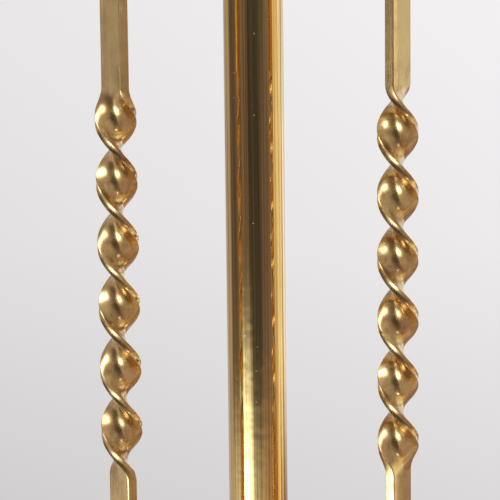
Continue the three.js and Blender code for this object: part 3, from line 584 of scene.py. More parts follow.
def surface(name, colour, other_colour, patch, grain, roughness, relief, **shader):
    """A plain material. Its colour wanders between two over patches of one size in mm. Its grain, of sizes
    in mm along X, Y and Z, roughens it and stands in relief by a depth in metres. shader is what is the same
    all over."""
    made, add = started(name)
    in_mm = in_millimetres(add)
    patches = add("TexNoise", in_mm, Scale=1 / patch, Detail=4.0)
    share = add("MapRange", patches, 0.35, 0.65)
    tint = add("MixRGB", share, linear(colour), linear(other_colour))
    grains = stretched_noise(add, in_mm, [1 / g for g in grain], Detail=3.0, Roughness=0.6)
    haze = add("MapRange", grains, 0.3, 0.7, roughness * 0.8, roughness * 1.2)
    bump = add("Bump", Height=grains, Strength=0.5, Distance=relief)
    coat = add("BsdfPrincipled", tint, Roughness=haze, Normal=bump, **shader)
    add("OutputMaterial", coat)
    return made


def turned(name, steps, material, outline, ease=0.0, milled=None):
    """A turned mesh: an outline of radii and heights that goes up the outside, spun about the Z axis. It
    closes on the axis, or on itself round a bore. ease rounds its corners, and milled gives the radius that
    is left at a radius, height and angle."""
    bored_through = outline[0][0] > 0
    if ease:
        outline = eased(outline, ease, closed=bored_through)
    turns = [2 * math.pi * k / steps for k in range(steps)]
    verts, rings = [], []
    for radius, height in outline:
        if abs(radius) < 1e-9:
            rings.append([len(verts)] * steps)
            verts.append((0, 0, height))
            continue
        rings.append(list(range(len(verts), len(verts) + steps)))
        for turn in turns:
            left = milled(radius, height, turn) if milled else radius
            verts.append((left * math.cos(turn), left * math.sin(turn), height))
    if bored_through:
        rings.append(rings[0])
    faces = []
    for low, high in zip(rings, rings[1:]):
        for k in range(steps):
            corners = [low[k], low[(k + 1) % steps], high[(k + 1) % steps], high[k]]
            faces.append(tuple(dict.fromkeys(corners)))
    mesh = bpy.data.meshes.new(name)
    mesh.from_pydata(verts, [], [f for f in faces if len(f) > 2])
    if material:
        mesh.materials.append(material)
    return smooth(mesh)


def eased(points, radius, closed=False):
    """Rounds an outline's corners, with a spare point beside each so that the long faces stay flat."""
    least_bend = math.radians(25)
    most_share = 0.4
    spare = 1.25
    steps = 4
    made = []
    for i, here in enumerate(points):
        corner, before, after = (Vector(points[k % len(points)]) for k in (i, i - 1, i + 1))
        back, ahead = before - corner, after - corner
        at_end = not closed and i in (0, len(points) - 1)
        bend_angle = 0 if at_end else math.pi - back.angle(ahead)
        if bend_angle < least_bend:
            made.append(here)
            continue
        cut = min(radius * math.tan(bend_angle / 2), back.length * most_share, ahead.length * most_share)
        back, ahead = back.normalized() * cut, ahead.normalized() * cut
        made.append(tuple(corner + back * spare))
        for t in (k / steps for k in range(steps + 1)):
            made.append(tuple(corner + back * (1 - t) ** 2 + ahead * t**2))
        made.append(tuple(corner + ahead * spare))
    return made


def arc(centre_radius, centre_height, radius, start, end, steps=12, height=None):
    """Points of an outline round an arc, between two angles in degrees from the outward direction. An arc
    with a height of its own is part of an ellipse."""
    return [
        (centre_radius + radius * math.cos(turn), centre_height + (height or radius) * math.sin(turn))
        for turn in (math.radians(start + (end - start) * k / steps) for k in range(steps + 1))
    ]


def copy_angle(add, given):
    """The angle at which each copy stands round the column."""
    step = add("Math DIVIDE", 2 * math.pi, given["Count"])
    number = add("GeometryNodeInputIndex")
    return add("Math MULTIPLY_ADD", number, step, given["First angle"])


def copies_tree():
    """Sets copies of a piece evenly round the column."""
    tree, add, given = started_tree("copies_round_the_column", "Count", "First angle")
    angle = copy_angle(add, given)
    turn = add("CombineXYZ", Z=angle)
    spots = add("GeometryNodeMeshLine", Count=given["Count"], Offset=(0.0, 0.0, 0.0))
    copies = add("GeometryNodeInstanceOnPoints", spots, Instance=given["Geometry"], Rotation=turn)
    end_tree(add, given, add("GeometryNodeRealizeInstances", copies))
    return tree


def slotted_screw_tree():
    """Cuts a slot across the head of a turned screw, and sets copies of the screw round the column. Each
    stops at its own turn, by chance, as screws do when they are driven home."""
    tree, add, given = started_tree(
        "slotted_screws", "Count", "First angle", "Circle radius", "Seat height", "Lean", "Head radius",
        "Head height", "Slot width", "Slot depth",
    )
    blade_length = add("Math MULTIPLY", given["Head radius"], 2.4)
    blade_depth = add("Math MULTIPLY", given["Slot depth"], 2.0)
    blade_size = add("CombineXYZ", blade_length, given["Slot width"], blade_depth)
    blade_place = add("CombineXYZ", Z=given["Head height"])
    blade = add("GeometryNodeMeshCube", blade_size)
    blade = add("GeometryNodeTransform", blade, Translation=blade_place)
    cut = {"operation": "DIFFERENCE", "solver": "EXACT"}
    screw = add("GeometryNodeMeshBoolean", given["Geometry"], blade, **cut)
    angle = copy_angle(add, given)
    lean = add("CombineXYZ", Y=given["Lean"], Z=angle)
    seat = add("CombineXYZ", given["Circle radius"], Z=given["Seat height"])
    seat = add("VectorRotate", seat, Angle=angle, rotation_type="Z_AXIS")
    spots = add("GeometryNodeMeshLine", Count=given["Count"], Offset=(0.0, 0.0, 0.0))
    spots = add("GeometryNodeSetPosition", spots, Position=seat)
    copies = add("GeometryNodeInstanceOnPoints", spots, Instance=screw, Rotation=lean)
    chance = add("FunctionNodeRandomValue", Max=2 * math.pi, Seed=7, data_type="FLOAT").outputs[1]
    stop = add("CombineXYZ", Z=chance)
    copies = add("GeometryNodeRotateInstances", copies, Rotation=stop, Local_Space=True)
    end_tree(add, given, add("GeometryNodeRealizeInstances", copies))
    return tree


def domed(shank_radius, shank_length, head_radius, head_height):
    """The outline of a screw with a domed head, whose seat is at height zero."""
    edge = head_height * 0.2
    shank = eased([(0, -shank_length), (shank_radius, -shank_length), (shank_radius, 0)], shank_radius * 0.3)
    return shank + arc(0, edge, head_radius, 0, 90, height=head_height - edge)


def three(name):
    """The names of three CAD nodes that stand round the column."""
    return [f"{name}_{i}" for i in (1, 2, 3)]


moulded_rubber = surface(
    "moulded_black_rubber", "#1d1c1b", "#262423", 8.0, (0.7, 0.7, 0.7), 0.72, 0.00005,
    Specular_IOR_Level=0.35,
)
glide_hole = glide_top - glide_hole_depth
glide = turned("glide", 48, None, [
    (0, glide_hollow_depth), (glide_hollow_radius, glide_hollow_depth),
    (glide_hollow_radius + glide_hollow_depth, 0), (glide_radius, 0), (glide_radius, glide_side),
    (glide_neck_radius, glide_top), (foot_shank_radius, glide_top), (foot_shank_radius, glide_hole),
    (0, glide_hole),
], ease=0.0008)
glide.transform(Matrix.Translation((toe_centre, 0, 0)))
ring_tree = copies_tree()
on_each_leg = {"Count": 3, "First_angle": leg_angles[0]}
glides = grown("foot_glides", glide, ring_tree, moulded_rubber, **on_each_leg)
settle(glides, "rubber", *three("foot_glide"))

# turned from rod: fine rings from the lathe under the polish
turned_brass = brass("turned_brass", "#efca85", "#c49248", 0.07, 0.35, 11.0, (30.0, 30.0, 0.7))
screw_tree = slotted_screw_tree()
foot_screw = domed(foot_shank_radius, foot_shank_length, foot_head_radius, foot_head_height)
foot_screws = grown(
    "foot_screws", turned("foot_screw", 32, None, foot_screw), screw_tree, turned_brass, **on_each_leg,
    Circle_radius=toe_centre, Seat_height=glide_top + bar_thickness, Lean=0.0, Head_radius=foot_head_radius,
    Head_height=foot_head_height, Slot_width=0.0014, Slot_depth=0.0013,
)
settle(smooth(foot_screws), "brass", *three("foot_screw"))


# Lower spider
# A turned brass collar slides on the column, and a set screw pins it. Three rods tie the legs to it, each
# with a domed nut outside its leg.
collar_low, collar_high, collar_radius = span("spider_collar")
collar_bore = 0.0193
collar_edge = 0.002
collar_groove = 0.0009
tie_height = (collar_low + collar_high) / 2
groove_rise = (collar_high - collar_low) / 4
fit_gap = 0.0003
rod_radius = 0.0045
rod_neck_radius = 0.0039
rod_neck = 0.0015
stud_radius = 0.003
stud_depth = 0.007
rod_start = collar_radius + fit_gap
rod_end = cage_radius - bar_thickness / 2 - fit_gap
nut_start = cage_radius + bar_thickness / 2 + fit_gap
nut_flat = 0.005
nut_corner = nut_flat / math.cos(math.pi / 6)
nut_end = nut_start + 0.005
nut_dome = 0.0046
nut_edge = 0.0004
set_screw_head_radius = 0.004
set_screw_head_height = 0.0025
set_screw_shank_radius = 0.0025
set_screw_length = 0.0085
set_screw_angle = math.radians(30)


def bored(mesh, *holes):
    """Drills round holes through a mesh, each given by the two ends of its axis and its radius."""
    drills = bmesh.new()
    for start, end, radius in holes:
        way = Vector(end) - Vector(start)
        to_middle = Matrix.Translation((Vector(start) + Vector(end)) / 2)
        bmesh.ops.create_cone(
            drills, cap_ends=True, segments=32, radius1=radius, radius2=radius, depth=way.length,
            matrix=to_middle @ way.to_track_quat("Z", "Y").to_matrix().to_4x4(),
        )
    name = mesh.name
    mesh.name = name + "_blank"
    blank, drill = show(mesh), show(mesh_of(drills, "drills"))
    cut = blank.modifiers.new("holes", "BOOLEAN")
    cut.object = drill
    cut.operation = "DIFFERENCE"
    cut.solver = "EXACT"
    made = modified(blank, name)
    bpy.data.objects.remove(drill)
    return smooth(made)


def round_column(angle, reach, height):
    """A point some way out from the column's axis, at an angle and a height."""
    return (reach * math.cos(angle), reach * math.sin(angle), height)


def bevel(radius, height, size):
    """A bevelled corner of an outline, whose size is below zero at an upper edge."""
    flat, side = (radius - abs(size), height), (radius, height + size)
    return [flat, side] if size > 0 else [side, flat]


def grooved(radius, height, half_width, depth):
    """A V groove in an outline, round a height."""
    return [(radius, height - half_width), (radius - depth, height), (radius, height + half_width)]


def hexagonal(flat_radius, top):
    """Mills six flats on a turned blank, up to a height."""
    def milled(radius, height, turn):
        if height > top:
            return radius
        from_flat = (turn + math.pi / 6) % (math.pi / 3) - math.pi / 6
        return min(radius, flat_radius / math.cos(from_flat))
    return milled


collar = turned("turned_collar", 96, turned_brass, [
    *bevel(collar_radius, collar_low, collar_edge),
    *grooved(collar_radius, tie_height - groove_rise, collar_groove, collar_groove / 2),
    *grooved(collar_radius, tie_height + groove_rise, collar_groove, collar_groove / 2),
    *bevel(collar_radius, collar_high, -collar_edge), (collar_bore, collar_high), (collar_bore, collar_low),
], ease=0.001)
collar_holes = [(angle, collar_radius - stud_depth, stud_radius) for angle in leg_angles]
collar_holes.append((set_screw_angle, 0, set_screw_shank_radius))
collar = bored(collar, *(
    (round_column(angle, start, tie_height), round_column(angle, cage_radius, tie_height), radius + fit_gap)
    for angle, start, radius in collar_holes
))
settle(collar, "brass", "spider_collar")

lying = Matrix.Translation((0, 0, tie_height)) @ Matrix.Rotation(math.pi / 2, 4, "Y")
tie_rod = turned("tie_rod", 32, None, [
    (0, rod_start - stud_depth), (stud_radius, rod_start - stud_depth), (stud_radius, rod_start),
    (rod_radius, rod_start), (rod_radius, rod_start + rod_neck), (rod_neck_radius, rod_start + 2 * rod_neck),
    (rod_neck_radius, rod_end - 2 * rod_neck), (rod_radius, rod_end - rod_neck), (rod_radius, rod_end),
    (stud_radius, rod_end), (stud_radius, nut_end), (0, nut_end),
], ease=0.0006)
tie_rod.transform(lying)
tie_rods = grown("tie_rods", tie_rod, ring_tree, turned_brass, **on_each_leg)
settle(tie_rods, "brass", *three("tie_rod"))

cap_nut = turned("cap_nut", 48, None, [
    (0, nut_end), (stud_radius + fit_gap, nut_end), (stud_radius + fit_gap, nut_start),
    (nut_flat - nut_edge, nut_start), (nut_corner, nut_start + 2 * nut_edge),
    (nut_corner, nut_end - 2 * nut_edge), (nut_flat - nut_edge, nut_end), *arc(0, nut_end, nut_dome, 4, 90),
], milled=hexagonal(nut_flat, nut_end))
cap_nut.transform(lying)
cap_nuts = grown("cap_nuts", cap_nut, ring_tree, turned_brass, **on_each_leg)
settle(cap_nuts, "brass", *three("tie_nut"))

set_screw = domed(set_screw_shank_radius, set_screw_length, set_screw_head_radius, set_screw_head_height)
collar_screw = grown(
    "collar_screw", turned("set_screw", 32, None, set_screw), screw_tree, turned_brass, Count=1,
    First_angle=set_screw_angle, Circle_radius=rod_start, Seat_height=tie_height, Lean=math.pi / 2,
    Head_radius=set_screw_head_radius, Head_height=set_screw_head_height, Slot_width=0.001, Slot_depth=0.001,
)
settle(smooth(collar_screw), "brass", "collar_set_screw")


# Column
# A plain drawn brass tube, 38 mm across, polished along its length. A threaded steel lamp pipe runs up
# through it and clamps the whole stack, with a nut at the bottom and another on the hub.
def tube_outline(radius, bore, low, high):
    """The outline of a plain tube."""
    return [(radius, low), (radius, high), (bore, high), (bore, low)]


tube_brass = brass("drawn_brass_tube", "#efca85", "#c29a58", 0.06, 0.25, 6.0, (1.2, 1.2, 160.0))
tube_low, tube_high, _ = span("column_tube")
tube_radius = 0.019
tube_bore = 0.0178
pipe_hole = 0.0053
tube = tube_outline(tube_radius, tube_bore, tube_low, tube_high)
tube = turned("column", 128, tube_brass, tube, ease=0.0003)
settle(tube, "brass", "column_tube")

# zinc plate is grey with a faint bloom, and is neither polished nor rough
zinc_plate = surface(
    "zinc_plated_steel", "#b9b8b2", "#a3a196", 12.0, (1.5, 1.5, 1.5), 0.36, 0.00002, Metallic=1.0,
)


def finished(material, *names):
    """Gives CAD nodes that stay their own finish."""
    for name in names:
        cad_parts[name].data.materials.clear()
        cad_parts[name].data.materials.append(material)


finished(zinc_plate, "lamp_pipe", "bottom_nut", "hub_nut", *three("hub_screw"))


# Bottom bell
# A turned brass plug closes the column's end, and a hollow turned bell hides the nut under it. The flex
# would come in through the bell's moulded bushing.
plug_low, plug_high, plug_radius = span("column_plug")
plug_nose_radius = 0.013
plug_nose_top = tube_low - 0.004
plug_spigot_radius = 0.0175
plug = turned("turned_plug", 72, turned_brass, [
    (plug_nose_radius, plug_low), (plug_nose_radius, plug_nose_top), (plug_radius, plug_nose_top),
    (plug_radius, tube_low), (plug_spigot_radius, tube_low), (plug_spigot_radius, plug_high),
    (pipe_hole, plug_high), (pipe_hole, plug_low),
], ease=0.0005)
settle(plug, "brass", "column_plug")

bell_low, bell_high, _ = span("bottom_bell")
bell_mouth_radius = 0.0105
bell_mouth = 0.002
bell_bulb_radius = 0.017
bell_bulb_curve = 0.010
bell_bulb_height = bell_low + 0.015
bell_lip = bell_high - 0.010
bell_waist_radius = 0.012
bell_flare = plug_radius - bell_waist_radius
bell_hole_radius = 0.006
bell_channel_radius = 0.008
bell_chamber_radius = 0.0109
bell_socket_radius = 0.0133
bell_floor = bell_low + 0.004
bell_chamber_floor = span("lamp_pipe")[0] - 0.001
bell_chamber_top = plug_low - fit_gap
bell_edge = 0.0006
bell = turned("turned_bell", 72, turned_brass, [
    (bell_hole_radius, bell_low), *bevel(bell_mouth_radius, bell_low, bell_edge),
    (bell_mouth_radius, bell_low + bell_mouth),
    *arc(bell_bulb_radius - bell_bulb_curve, bell_bulb_height, bell_bulb_curve, -50, 55, 20),
    *arc(plug_radius, bell_lip - bell_flare, bell_flare, 176, 96, 16),
    (plug_radius, bell_lip + bell_edge), *bevel(plug_radius, bell_high, -bell_edge),
    (bell_socket_radius, bell_high), (bell_socket_radius, bell_chamber_top),
    (bell_chamber_radius, bell_chamber_top),
    (bell_chamber_radius, bell_chamber_floor), (bell_channel_radius, bell_chamber_floor),
    (bell_channel_radius, bell_floor), (bell_hole_radius, bell_floor),
])
settle(bell, "brass", "bottom_bell")

# moulded plastic has a slight orange peel and a low, even gloss
moulded_plastic = surface(
    "moulded_black_plastic", "#1a1613", "#221d19", 10.0, (0.9, 0.9, 0.9), 0.34, 0.00002, Coat_Weight=0.1,
)
bushing_low, bushing_high, bushing_flange_radius = span("cord_bushing")
bushing_radius = 0.0057
bushing_bore = 0.0037
bushing = turned("flex_bushing", 48, moulded_plastic, [
    (bushing_flange_radius, bushing_low), (bushing_flange_radius, bell_low), (bushing_radius, bell_low),
    (bushing_radius, bushing_high), (bushing_bore, bushing_high), (bushing_bore, bushing_low),
], ease=0.0007)
settle(bushing, "black_plastic", "cord_bushing")


# Hub
# A thick brass plate closes the column's top, and the legs' ends are screwed down on it. A turned ring
# covers the joint below the plate, and a spun dome covers the screws above it.
ring_low, ring_high, _ = span("column_top_ring")
ring_radius = 0.0228
ring_bead = 0.003
ring_lip_radius = 0.0248
ring_lip = ring_high - ring_bead
ring_edge = 0.0006
top_ring = turned("turned_top_ring", 96, turned_brass, [
    *arc(ring_radius, ring_low + ring_bead, ring_bead, -90, 88, 18),
    (ring_radius, ring_low + 2 * ring_bead), (ring_radius, ring_lip),
    *arc(ring_lip_radius, ring_lip, ring_lip_radius - ring_radius, 178, 96, 10, ring_bead - ring_edge),
    *bevel(ring_lip_radius, ring_high, -ring_edge / 2), (collar_bore, ring_high), (collar_bore, ring_low),
])
settle(top_ring, "brass", "column_top_ring")

hub_low, hub_high, hub_radius = span("hub_plate")
hub_edge = 0.001
hub_screw_circle = (tab_inner_radius + cage_radius - top_bend_radius) / 2
hub_hole_radius = 0.003
hub_plate = turned("bored_hub_plate", 96, turned_brass, [
    (plug_spigot_radius, hub_low), (plug_spigot_radius, tube_high), *bevel(hub_radius, tube_high, hub_edge),
    *bevel(hub_radius, hub_high, -hub_edge), (pipe_hole, hub_high), (pipe_hole, hub_low),
], ease=0.0006)
drill_ends = (hub_low, hub_high + hub_edge)
hub_holes = (
    (*(round_column(angle, hub_screw_circle, end) for end in drill_ends), hub_hole_radius)
    for angle in leg_angles
)
hub_plate = bored(hub_plate, *hub_holes)
settle(hub_plate, "brass", "hub_plate")

# spun over a former, so its rings are wide and soft
spun_brass = brass("spun_brass", "#efca85", "#c49248", 0.08, 0.3, 14.0, (40.0, 40.0, 2.2), 16.0, 0.08)
canopy_low, canopy_high, canopy_radius = span("canopy")
canopy_wall = 0.0015
canopy_rim = canopy_low + 0.003
canopy_crown_radius = 0.017
canopy_crown = canopy_high - 0.004
canopy_dome_width = canopy_radius - canopy_crown_radius
canopy_outside = [
    (canopy_radius, canopy_low),
    *arc(canopy_crown_radius, canopy_rim, canopy_dome_width, 0, 88, 24, canopy_crown - canopy_rim),
    (canopy_crown_radius, canopy_crown), (canopy_crown_radius, canopy_high),
]
canopy_inside = [(r - canopy_wall, max(z - canopy_wall, canopy_low)) for r, z in canopy_outside]
canopy = turned("spun_canopy", 96, spun_brass, [
    *canopy_outside, (pipe_hole, canopy_high), (pipe_hole, canopy_high - canopy_wall),
    *reversed(canopy_inside),
], ease=0.0006)
settle(canopy, "brass", "canopy")


# Neck
# A turned brass baluster stands on the dome and lifts the lamp holder. A washer on it carries the harp's
# saddle.
neck_low, neck_high, _ = span("neck")
neck_length = neck_high - neck_low
neck_base_radius = 0.016
neck_base = neck_low + 0.004
neck_waist_radius = 0.0085
neck_ball_radius = 0.014
neck_head_radius = 0.012
neck_head = neck_high - 0.005
neck_edge = 0.0006
neck_shoulder_radius = neck_base_radius - neck_edge
neck_ball_share = 0.45
neck_waist_shares = (0.17, 0.78)
low_waist, high_waist = (neck_low + neck_length * share for share in neck_waist_shares)
neck = turned("turned_neck", 72, turned_brass, [
    (pipe_hole, neck_low), *eased([
        *bevel(neck_base_radius, neck_low, neck_edge), (neck_base_radius, neck_base),
        (neck_shoulder_radius, neck_base),
    ], 0.0005),
    *arc(neck_shoulder_radius, low_waist, neck_shoulder_radius - neck_waist_radius, 268, 180, 12,
         low_waist - neck_base),
    *arc(0, neck_low + neck_length * neck_ball_share, neck_ball_radius, -45, 50, 20),
    *arc(neck_head_radius, high_waist, neck_head_radius - neck_waist_radius, 184, 96, 12,
         neck_head - high_waist),
    (neck_head_radius, neck_head + neck_edge / 2), *bevel(neck_head_radius, neck_high, -neck_edge),
    (pipe_hole, neck_high),
])
settle(neck, "brass", "neck")

washer_low, washer_high, washer_radius = span("neck_washer")
washer = tube_outline(washer_radius, pipe_hole, washer_low, washer_high)
settle(turned("turned_washer", 64, turned_brass, washer, ease=0.0009), "brass", "neck_washer")


# Harp
# A brass strip bent up at both ends is clamped under the lamp holder. The harp is one bent brass wire: its
# feet stand on the strip's tangs, knurled sleeves slide down over the joints, and its top has a threaded
# stud.
saddle_low, saddle_high, _ = span("harp_saddle")
saddle_half_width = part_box("harp_saddle")[1].y
saddle_thickness = 0.002
saddle_arm = 0.032
saddle_bend = 0.004
saddle_bend_steps = 10
saddle_shoulder = saddle_low + 0.014
saddle_corner = 0.0003
tang_half_width = 0.0021
tang_ease = 0.0012
# how far above the shoulder or below the tip, as a share of the ease, and the half width there
shoulder_ends = [
    (-1.0, saddle_half_width),
    (-0.3, saddle_half_width - tang_ease * 0.3),
    (0.0, saddle_half_width - tang_ease),
    (0.1, tang_half_width),
]
tip_ends = [(-1.0, tang_half_width), (-0.3, tang_half_width * 0.85), (0.0, tang_half_width * 0.45)]


def saddle_stations():
    """Along one arm of the saddle from its middle out: places in the strip's middle layer, its way and its
    half width."""
    upright = math.pi / 2
    layer = saddle_low + saddle_thickness / 2
    bend_out, bend_up = saddle_arm - saddle_bend, layer + saddle_bend
    turns = [upright * k / saddle_bend_steps for k in range(saddle_bend_steps + 1)]
    round_bend = (
        (bend_out + saddle_bend * math.sin(turn), bend_up - saddle_bend * math.cos(turn), turn)
        for turn in turns
    )
    return [
        (0.0, layer, 0.0, saddle_half_width),
        *((*place, saddle_half_width) for place in round_bend),
        *((saddle_arm, saddle_shoulder + tang_ease * share, upright, half) for share, half in shoulder_ends),
        *((saddle_arm, saddle_high + tang_ease * share, upright, half) for share, half in tip_ends),
    ]


def strip_mesh(name, stations, thickness, corner, material):
    """A flat strip along stations of x, z, way and half width, with eased corners and closed ends."""
    shape = bmesh.new()
    rings = []
    inner = 1 - 2 * corner / thickness
    for x, z, way, half in stations:
        out = Vector((math.sin(way), 0, -math.cos(way))) * (thickness / 2)
        side, edge = Vector((0, half, 0)), Vector((0, half - corner, 0))
        ring = [out + edge, out * inner + side, side - out * inner, edge - out]
        ring += [-out - edge, -out * inner - side, out * inner - side, out - edge]
        rings.append([shape.verts.new(Vector((x, 0, z)) + point) for point in ring])
    for low, high in zip(rings, rings[1:]):
        for k in range(len(low)):
            following = (k + 1) % len(low)
            shape.faces.new((low[k], low[following], high[following], high[k]))
    shape.faces.new(rings[0])
    shape.faces.new(rings[-1])
    bmesh.ops.recalc_face_normals(shape, faces=shape.faces)
    return smooth(mesh_of(shape, name, material))


strip_brass = brass("bent_brass_strip", "#eac581", "#b98a42", 0.12, 0.4, 8.0, (14.0, 0.9, 14.0))
arm = saddle_stations()
other_arm = [(-x, z, -way, half) for x, z, way, half in reversed(arm[1:])]
saddle = strip_mesh("bent_saddle", other_arm + arm, saddle_thickness, saddle_corner, strip_brass)
saddle_hole = ((0, 0, saddle_low - saddle_thickness), (0, 0, saddle_low + 2 * saddle_thickness), pipe_hole)
settle(bored(saddle, saddle_hole), "brass", "harp_saddle")

wire_radius = 0.0016
bulge_radius = 0.057
harp_low, harp_high, _ = span("harp")
harp_straight = 0.024
boss_radius = 0.006
boss_height = 0.004
boss_edge = 0.0012
stud_thread_radius = 0.003175
thread_pitch = 0.00095
thread_depth = 0.0004
harp_seat = harp_high - 0.014
harp_wire_top = harp_seat - boss_height
thread_low = harp_seat + boss_edge
thread_high = harp_high - thread_depth * 2
# where the bow sets out from the straight foot, as shares of how far out the foot is and of the bowed height
harp_start_shares = (1.07, 0.05)
# how far out a side of the harp stands, as a share of its bulge, at a share of its bowed height
harp_bow_shares = [
    (0.83, 0.17), (0.98, 0.37), (1.0, 0.5), (0.96, 0.67), (0.8, 0.84), (0.5, 0.96), (0.2, 1.0),
]


def wire_tree():
    """Sweeps a round wire along a line."""
    tree, add, given = started_tree("bent_wire", "Radius", "Sides")
    line = add("GeometryNodeMeshToCurve", given["Geometry"])
    section = add("GeometryNodeCurvePrimitiveCircle", Resolution=given["Sides"], Radius=given["Radius"])
    end_tree(add, given, add("GeometryNodeCurveToMesh", line, section, Fill_Caps=True))
    return tree


def wire_along(name, points, radius, sides, material, closed=False):
    """A round wire through points."""
    line = line_mesh(name + "_line", points, closed)
    return smooth(grown(name, line, bent_wire_tree, material, Radius=radius, Sides=sides))


def curve_through(points, steps):
    """A smooth line through points, with even steps between each two."""
    ends = [points[0], *points, points[-1]]
    made = []
    for corners in zip(ends, ends[1:], ends[2:], ends[3:]):
        a, b, c, d = (Vector(corner) for corner in corners)
        for t in (k / steps for k in range(steps)):
            bent = (2 * a - 5 * b + 4 * c - d) * t**2 + (3 * b - a - 3 * c + d) * t**3
            made.append(b + ((c - a) * t + bent) / 2)
    return [*made, Vector(points[-1])]


def joined(name, *meshes):
    """Several meshes as one, each part with its own materials."""
    shape = bmesh.new()
    materials = []
    for mesh in meshes:
        shape.from_mesh(mesh)
        for face in shape.faces:
            if not face.tag:
                face.material_index += len(materials)
                face.tag = True
        materials += list(mesh.materials)
    return smooth(mesh_of(shape, name, *materials))


def threaded(pitch, depth, low, high):
    """Cuts a screw thread into a turned blank, between two heights."""
    def milled(radius, height, turn):
        if not low < height < high:
            return radius
        phase = (height / pitch - turn / (2 * math.pi)) % 1
        return radius - depth * (0.5 + 0.5 * math.cos(2 * math.pi * phase))
    return milled


def upright_side(radius, low, high, step):
    """Points of an outline straight up between two heights, a step apart at most."""
    start, end = Vector((radius, low)), Vector((radius, high))
    count = math.ceil((end - start).length / step)
    return [tuple(start.lerp(end, k / count)) for k in range(count + 1)]


bent_wire_tree = wire_tree()
wire_brass = brass("drawn_brass_wire", "#efca85", "#bf8f48", 0.1, 0.35, 6.0, (2.0, 2.0, 2.0))
bow_low = harp_low + harp_straight
bow_height = harp_wire_top - bow_low
start_out, start_up = harp_start_shares
harp_side = [
    (saddle_arm, harp_low), (saddle_arm, harp_low + harp_straight / 2), (saddle_arm, bow_low),
    (saddle_arm * start_out, bow_low + bow_height * start_up),
    *((bulge_radius * out, bow_low + bow_height * up) for out, up in harp_bow_shares),
]
harp_line = [(x, 0, z) for x, z in harp_side] + [(-x, 0, z) for x, z in reversed(harp_side)]
harp_wire = wire_along("harp_wire", curve_through(harp_line, 6), wire_radius, 20, wire_brass)
harp_head = turned("harp_head", 32, turned_brass, [
    (0, harp_wire_top), *bevel(boss_radius, harp_wire_top, boss_edge),
    *bevel(boss_radius, harp_seat, -boss_edge / 4), (stud_thread_radius, harp_seat),
    *upright_side(stud_thread_radius, thread_low, thread_high, thread_pitch / 6),
    (stud_thread_radius - thread_depth * 1.5, harp_high), (0, harp_high),
], milled=threaded(thread_pitch, thread_depth, thread_low, thread_high))
settle(joined("bent_harp", harp_wire, harp_head), "brass", "harp")


def knurled(count, depth, low, high):
    """Rolls a diamond knurl into a turned blank, between two heights."""
    def milled(radius, height, turn):
        if not low < height < high:
            return radius
        around = turn * count / (2 * math.pi)
        rise = (height - low) * count / (2 * math.pi * radius)
        left_cut = abs(((around + rise) % 1) * 2 - 1)
        right_cut = abs(((around - rise) % 1) * 2 - 1)
        return radius - depth * max(left_cut, right_cut)
    return milled


sleeve_radius = 0.003733
sleeve_bore = 0.002633
sleeve_edge = 0.0005
sleeve_plain = 0.004
knurl_count = 20
knurl_depth = 0.0003
knurl_step = 0.00024
for side, sign in (("left", -1), ("right", 1)):
    low, high, _ = span(f"harp_ferrule_{side}")
    knurl_low, knurl_high = low + sleeve_plain, high - sleeve_plain
    sleeve = turned(f"harp_sleeve_{side}", 120, turned_brass, [
        (sleeve_bore, low), *bevel(sleeve_radius, low, sleeve_edge),
        *grooved(sleeve_radius, knurl_low - 2 * sleeve_edge, sleeve_edge, sleeve_edge),
        *upright_side(sleeve_radius, knurl_low, knurl_high, knurl_step),
        *grooved(sleeve_radius, knurl_high + 2 * sleeve_edge, sleeve_edge, sleeve_edge),
        *bevel(sleeve_radius, high, -sleeve_edge), (sleeve_bore, high),
    ], milled=knurled(knurl_count, knurl_depth, knurl_low, knurl_high))
    sleeve.transform(Matrix.Translation((sign * saddle_arm, 0, 0)))
    settle(sleeve, "brass", f"harp_ferrule_{side}", body=f"ferrule_{side}")


# Lamp holder
# A drawn brass shell snaps into a drawn brass cap, with a fibre liner inside it. The liner keeps the shell
# off the phenolic core, its terminal screws and the threaded aluminium sleeve that holds the bulb.
cap_low, cap_high, cap_radius = span("holder_cap")
cap_boss_radius = 0.008
cap_boss = 0.002
cap_flare = 0.007
cap_wall = 0.0008
cap_bead = 0.0005
cap_groove_radius = cap_radius - cap_bead
cap_step_radius = 0.0125
cap_step = cap_low + 0.008
cap_floor = cap_low + 0.004
holder_cap = turned("spun_holder_cap", 72, spun_brass, [
    (cap_boss_radius, cap_low), (cap_boss_radius, cap_low + cap_boss),
    *arc(cap_boss_radius, cap_low + cap_flare, cap_radius - cap_boss_radius, -84, 0, 12,
         cap_flare - cap_boss),
    (cap_radius, cap_high - 6 * cap_bead), (cap_groove_radius, cap_high - 5 * cap_bead),
    (cap_groove_radius, cap_high - 4 * cap_bead), (cap_radius, cap_high - 3 * cap_bead),
    *bevel(cap_radius, cap_high, -cap_bead / 2), (cap_radius - cap_wall, cap_high),
    (cap_radius - cap_wall, cap_step), (cap_step_radius, cap_step), (pipe_hole, cap_floor),
    (pipe_hole, cap_low),
])
settle(holder_cap, "brass", "holder_cap")

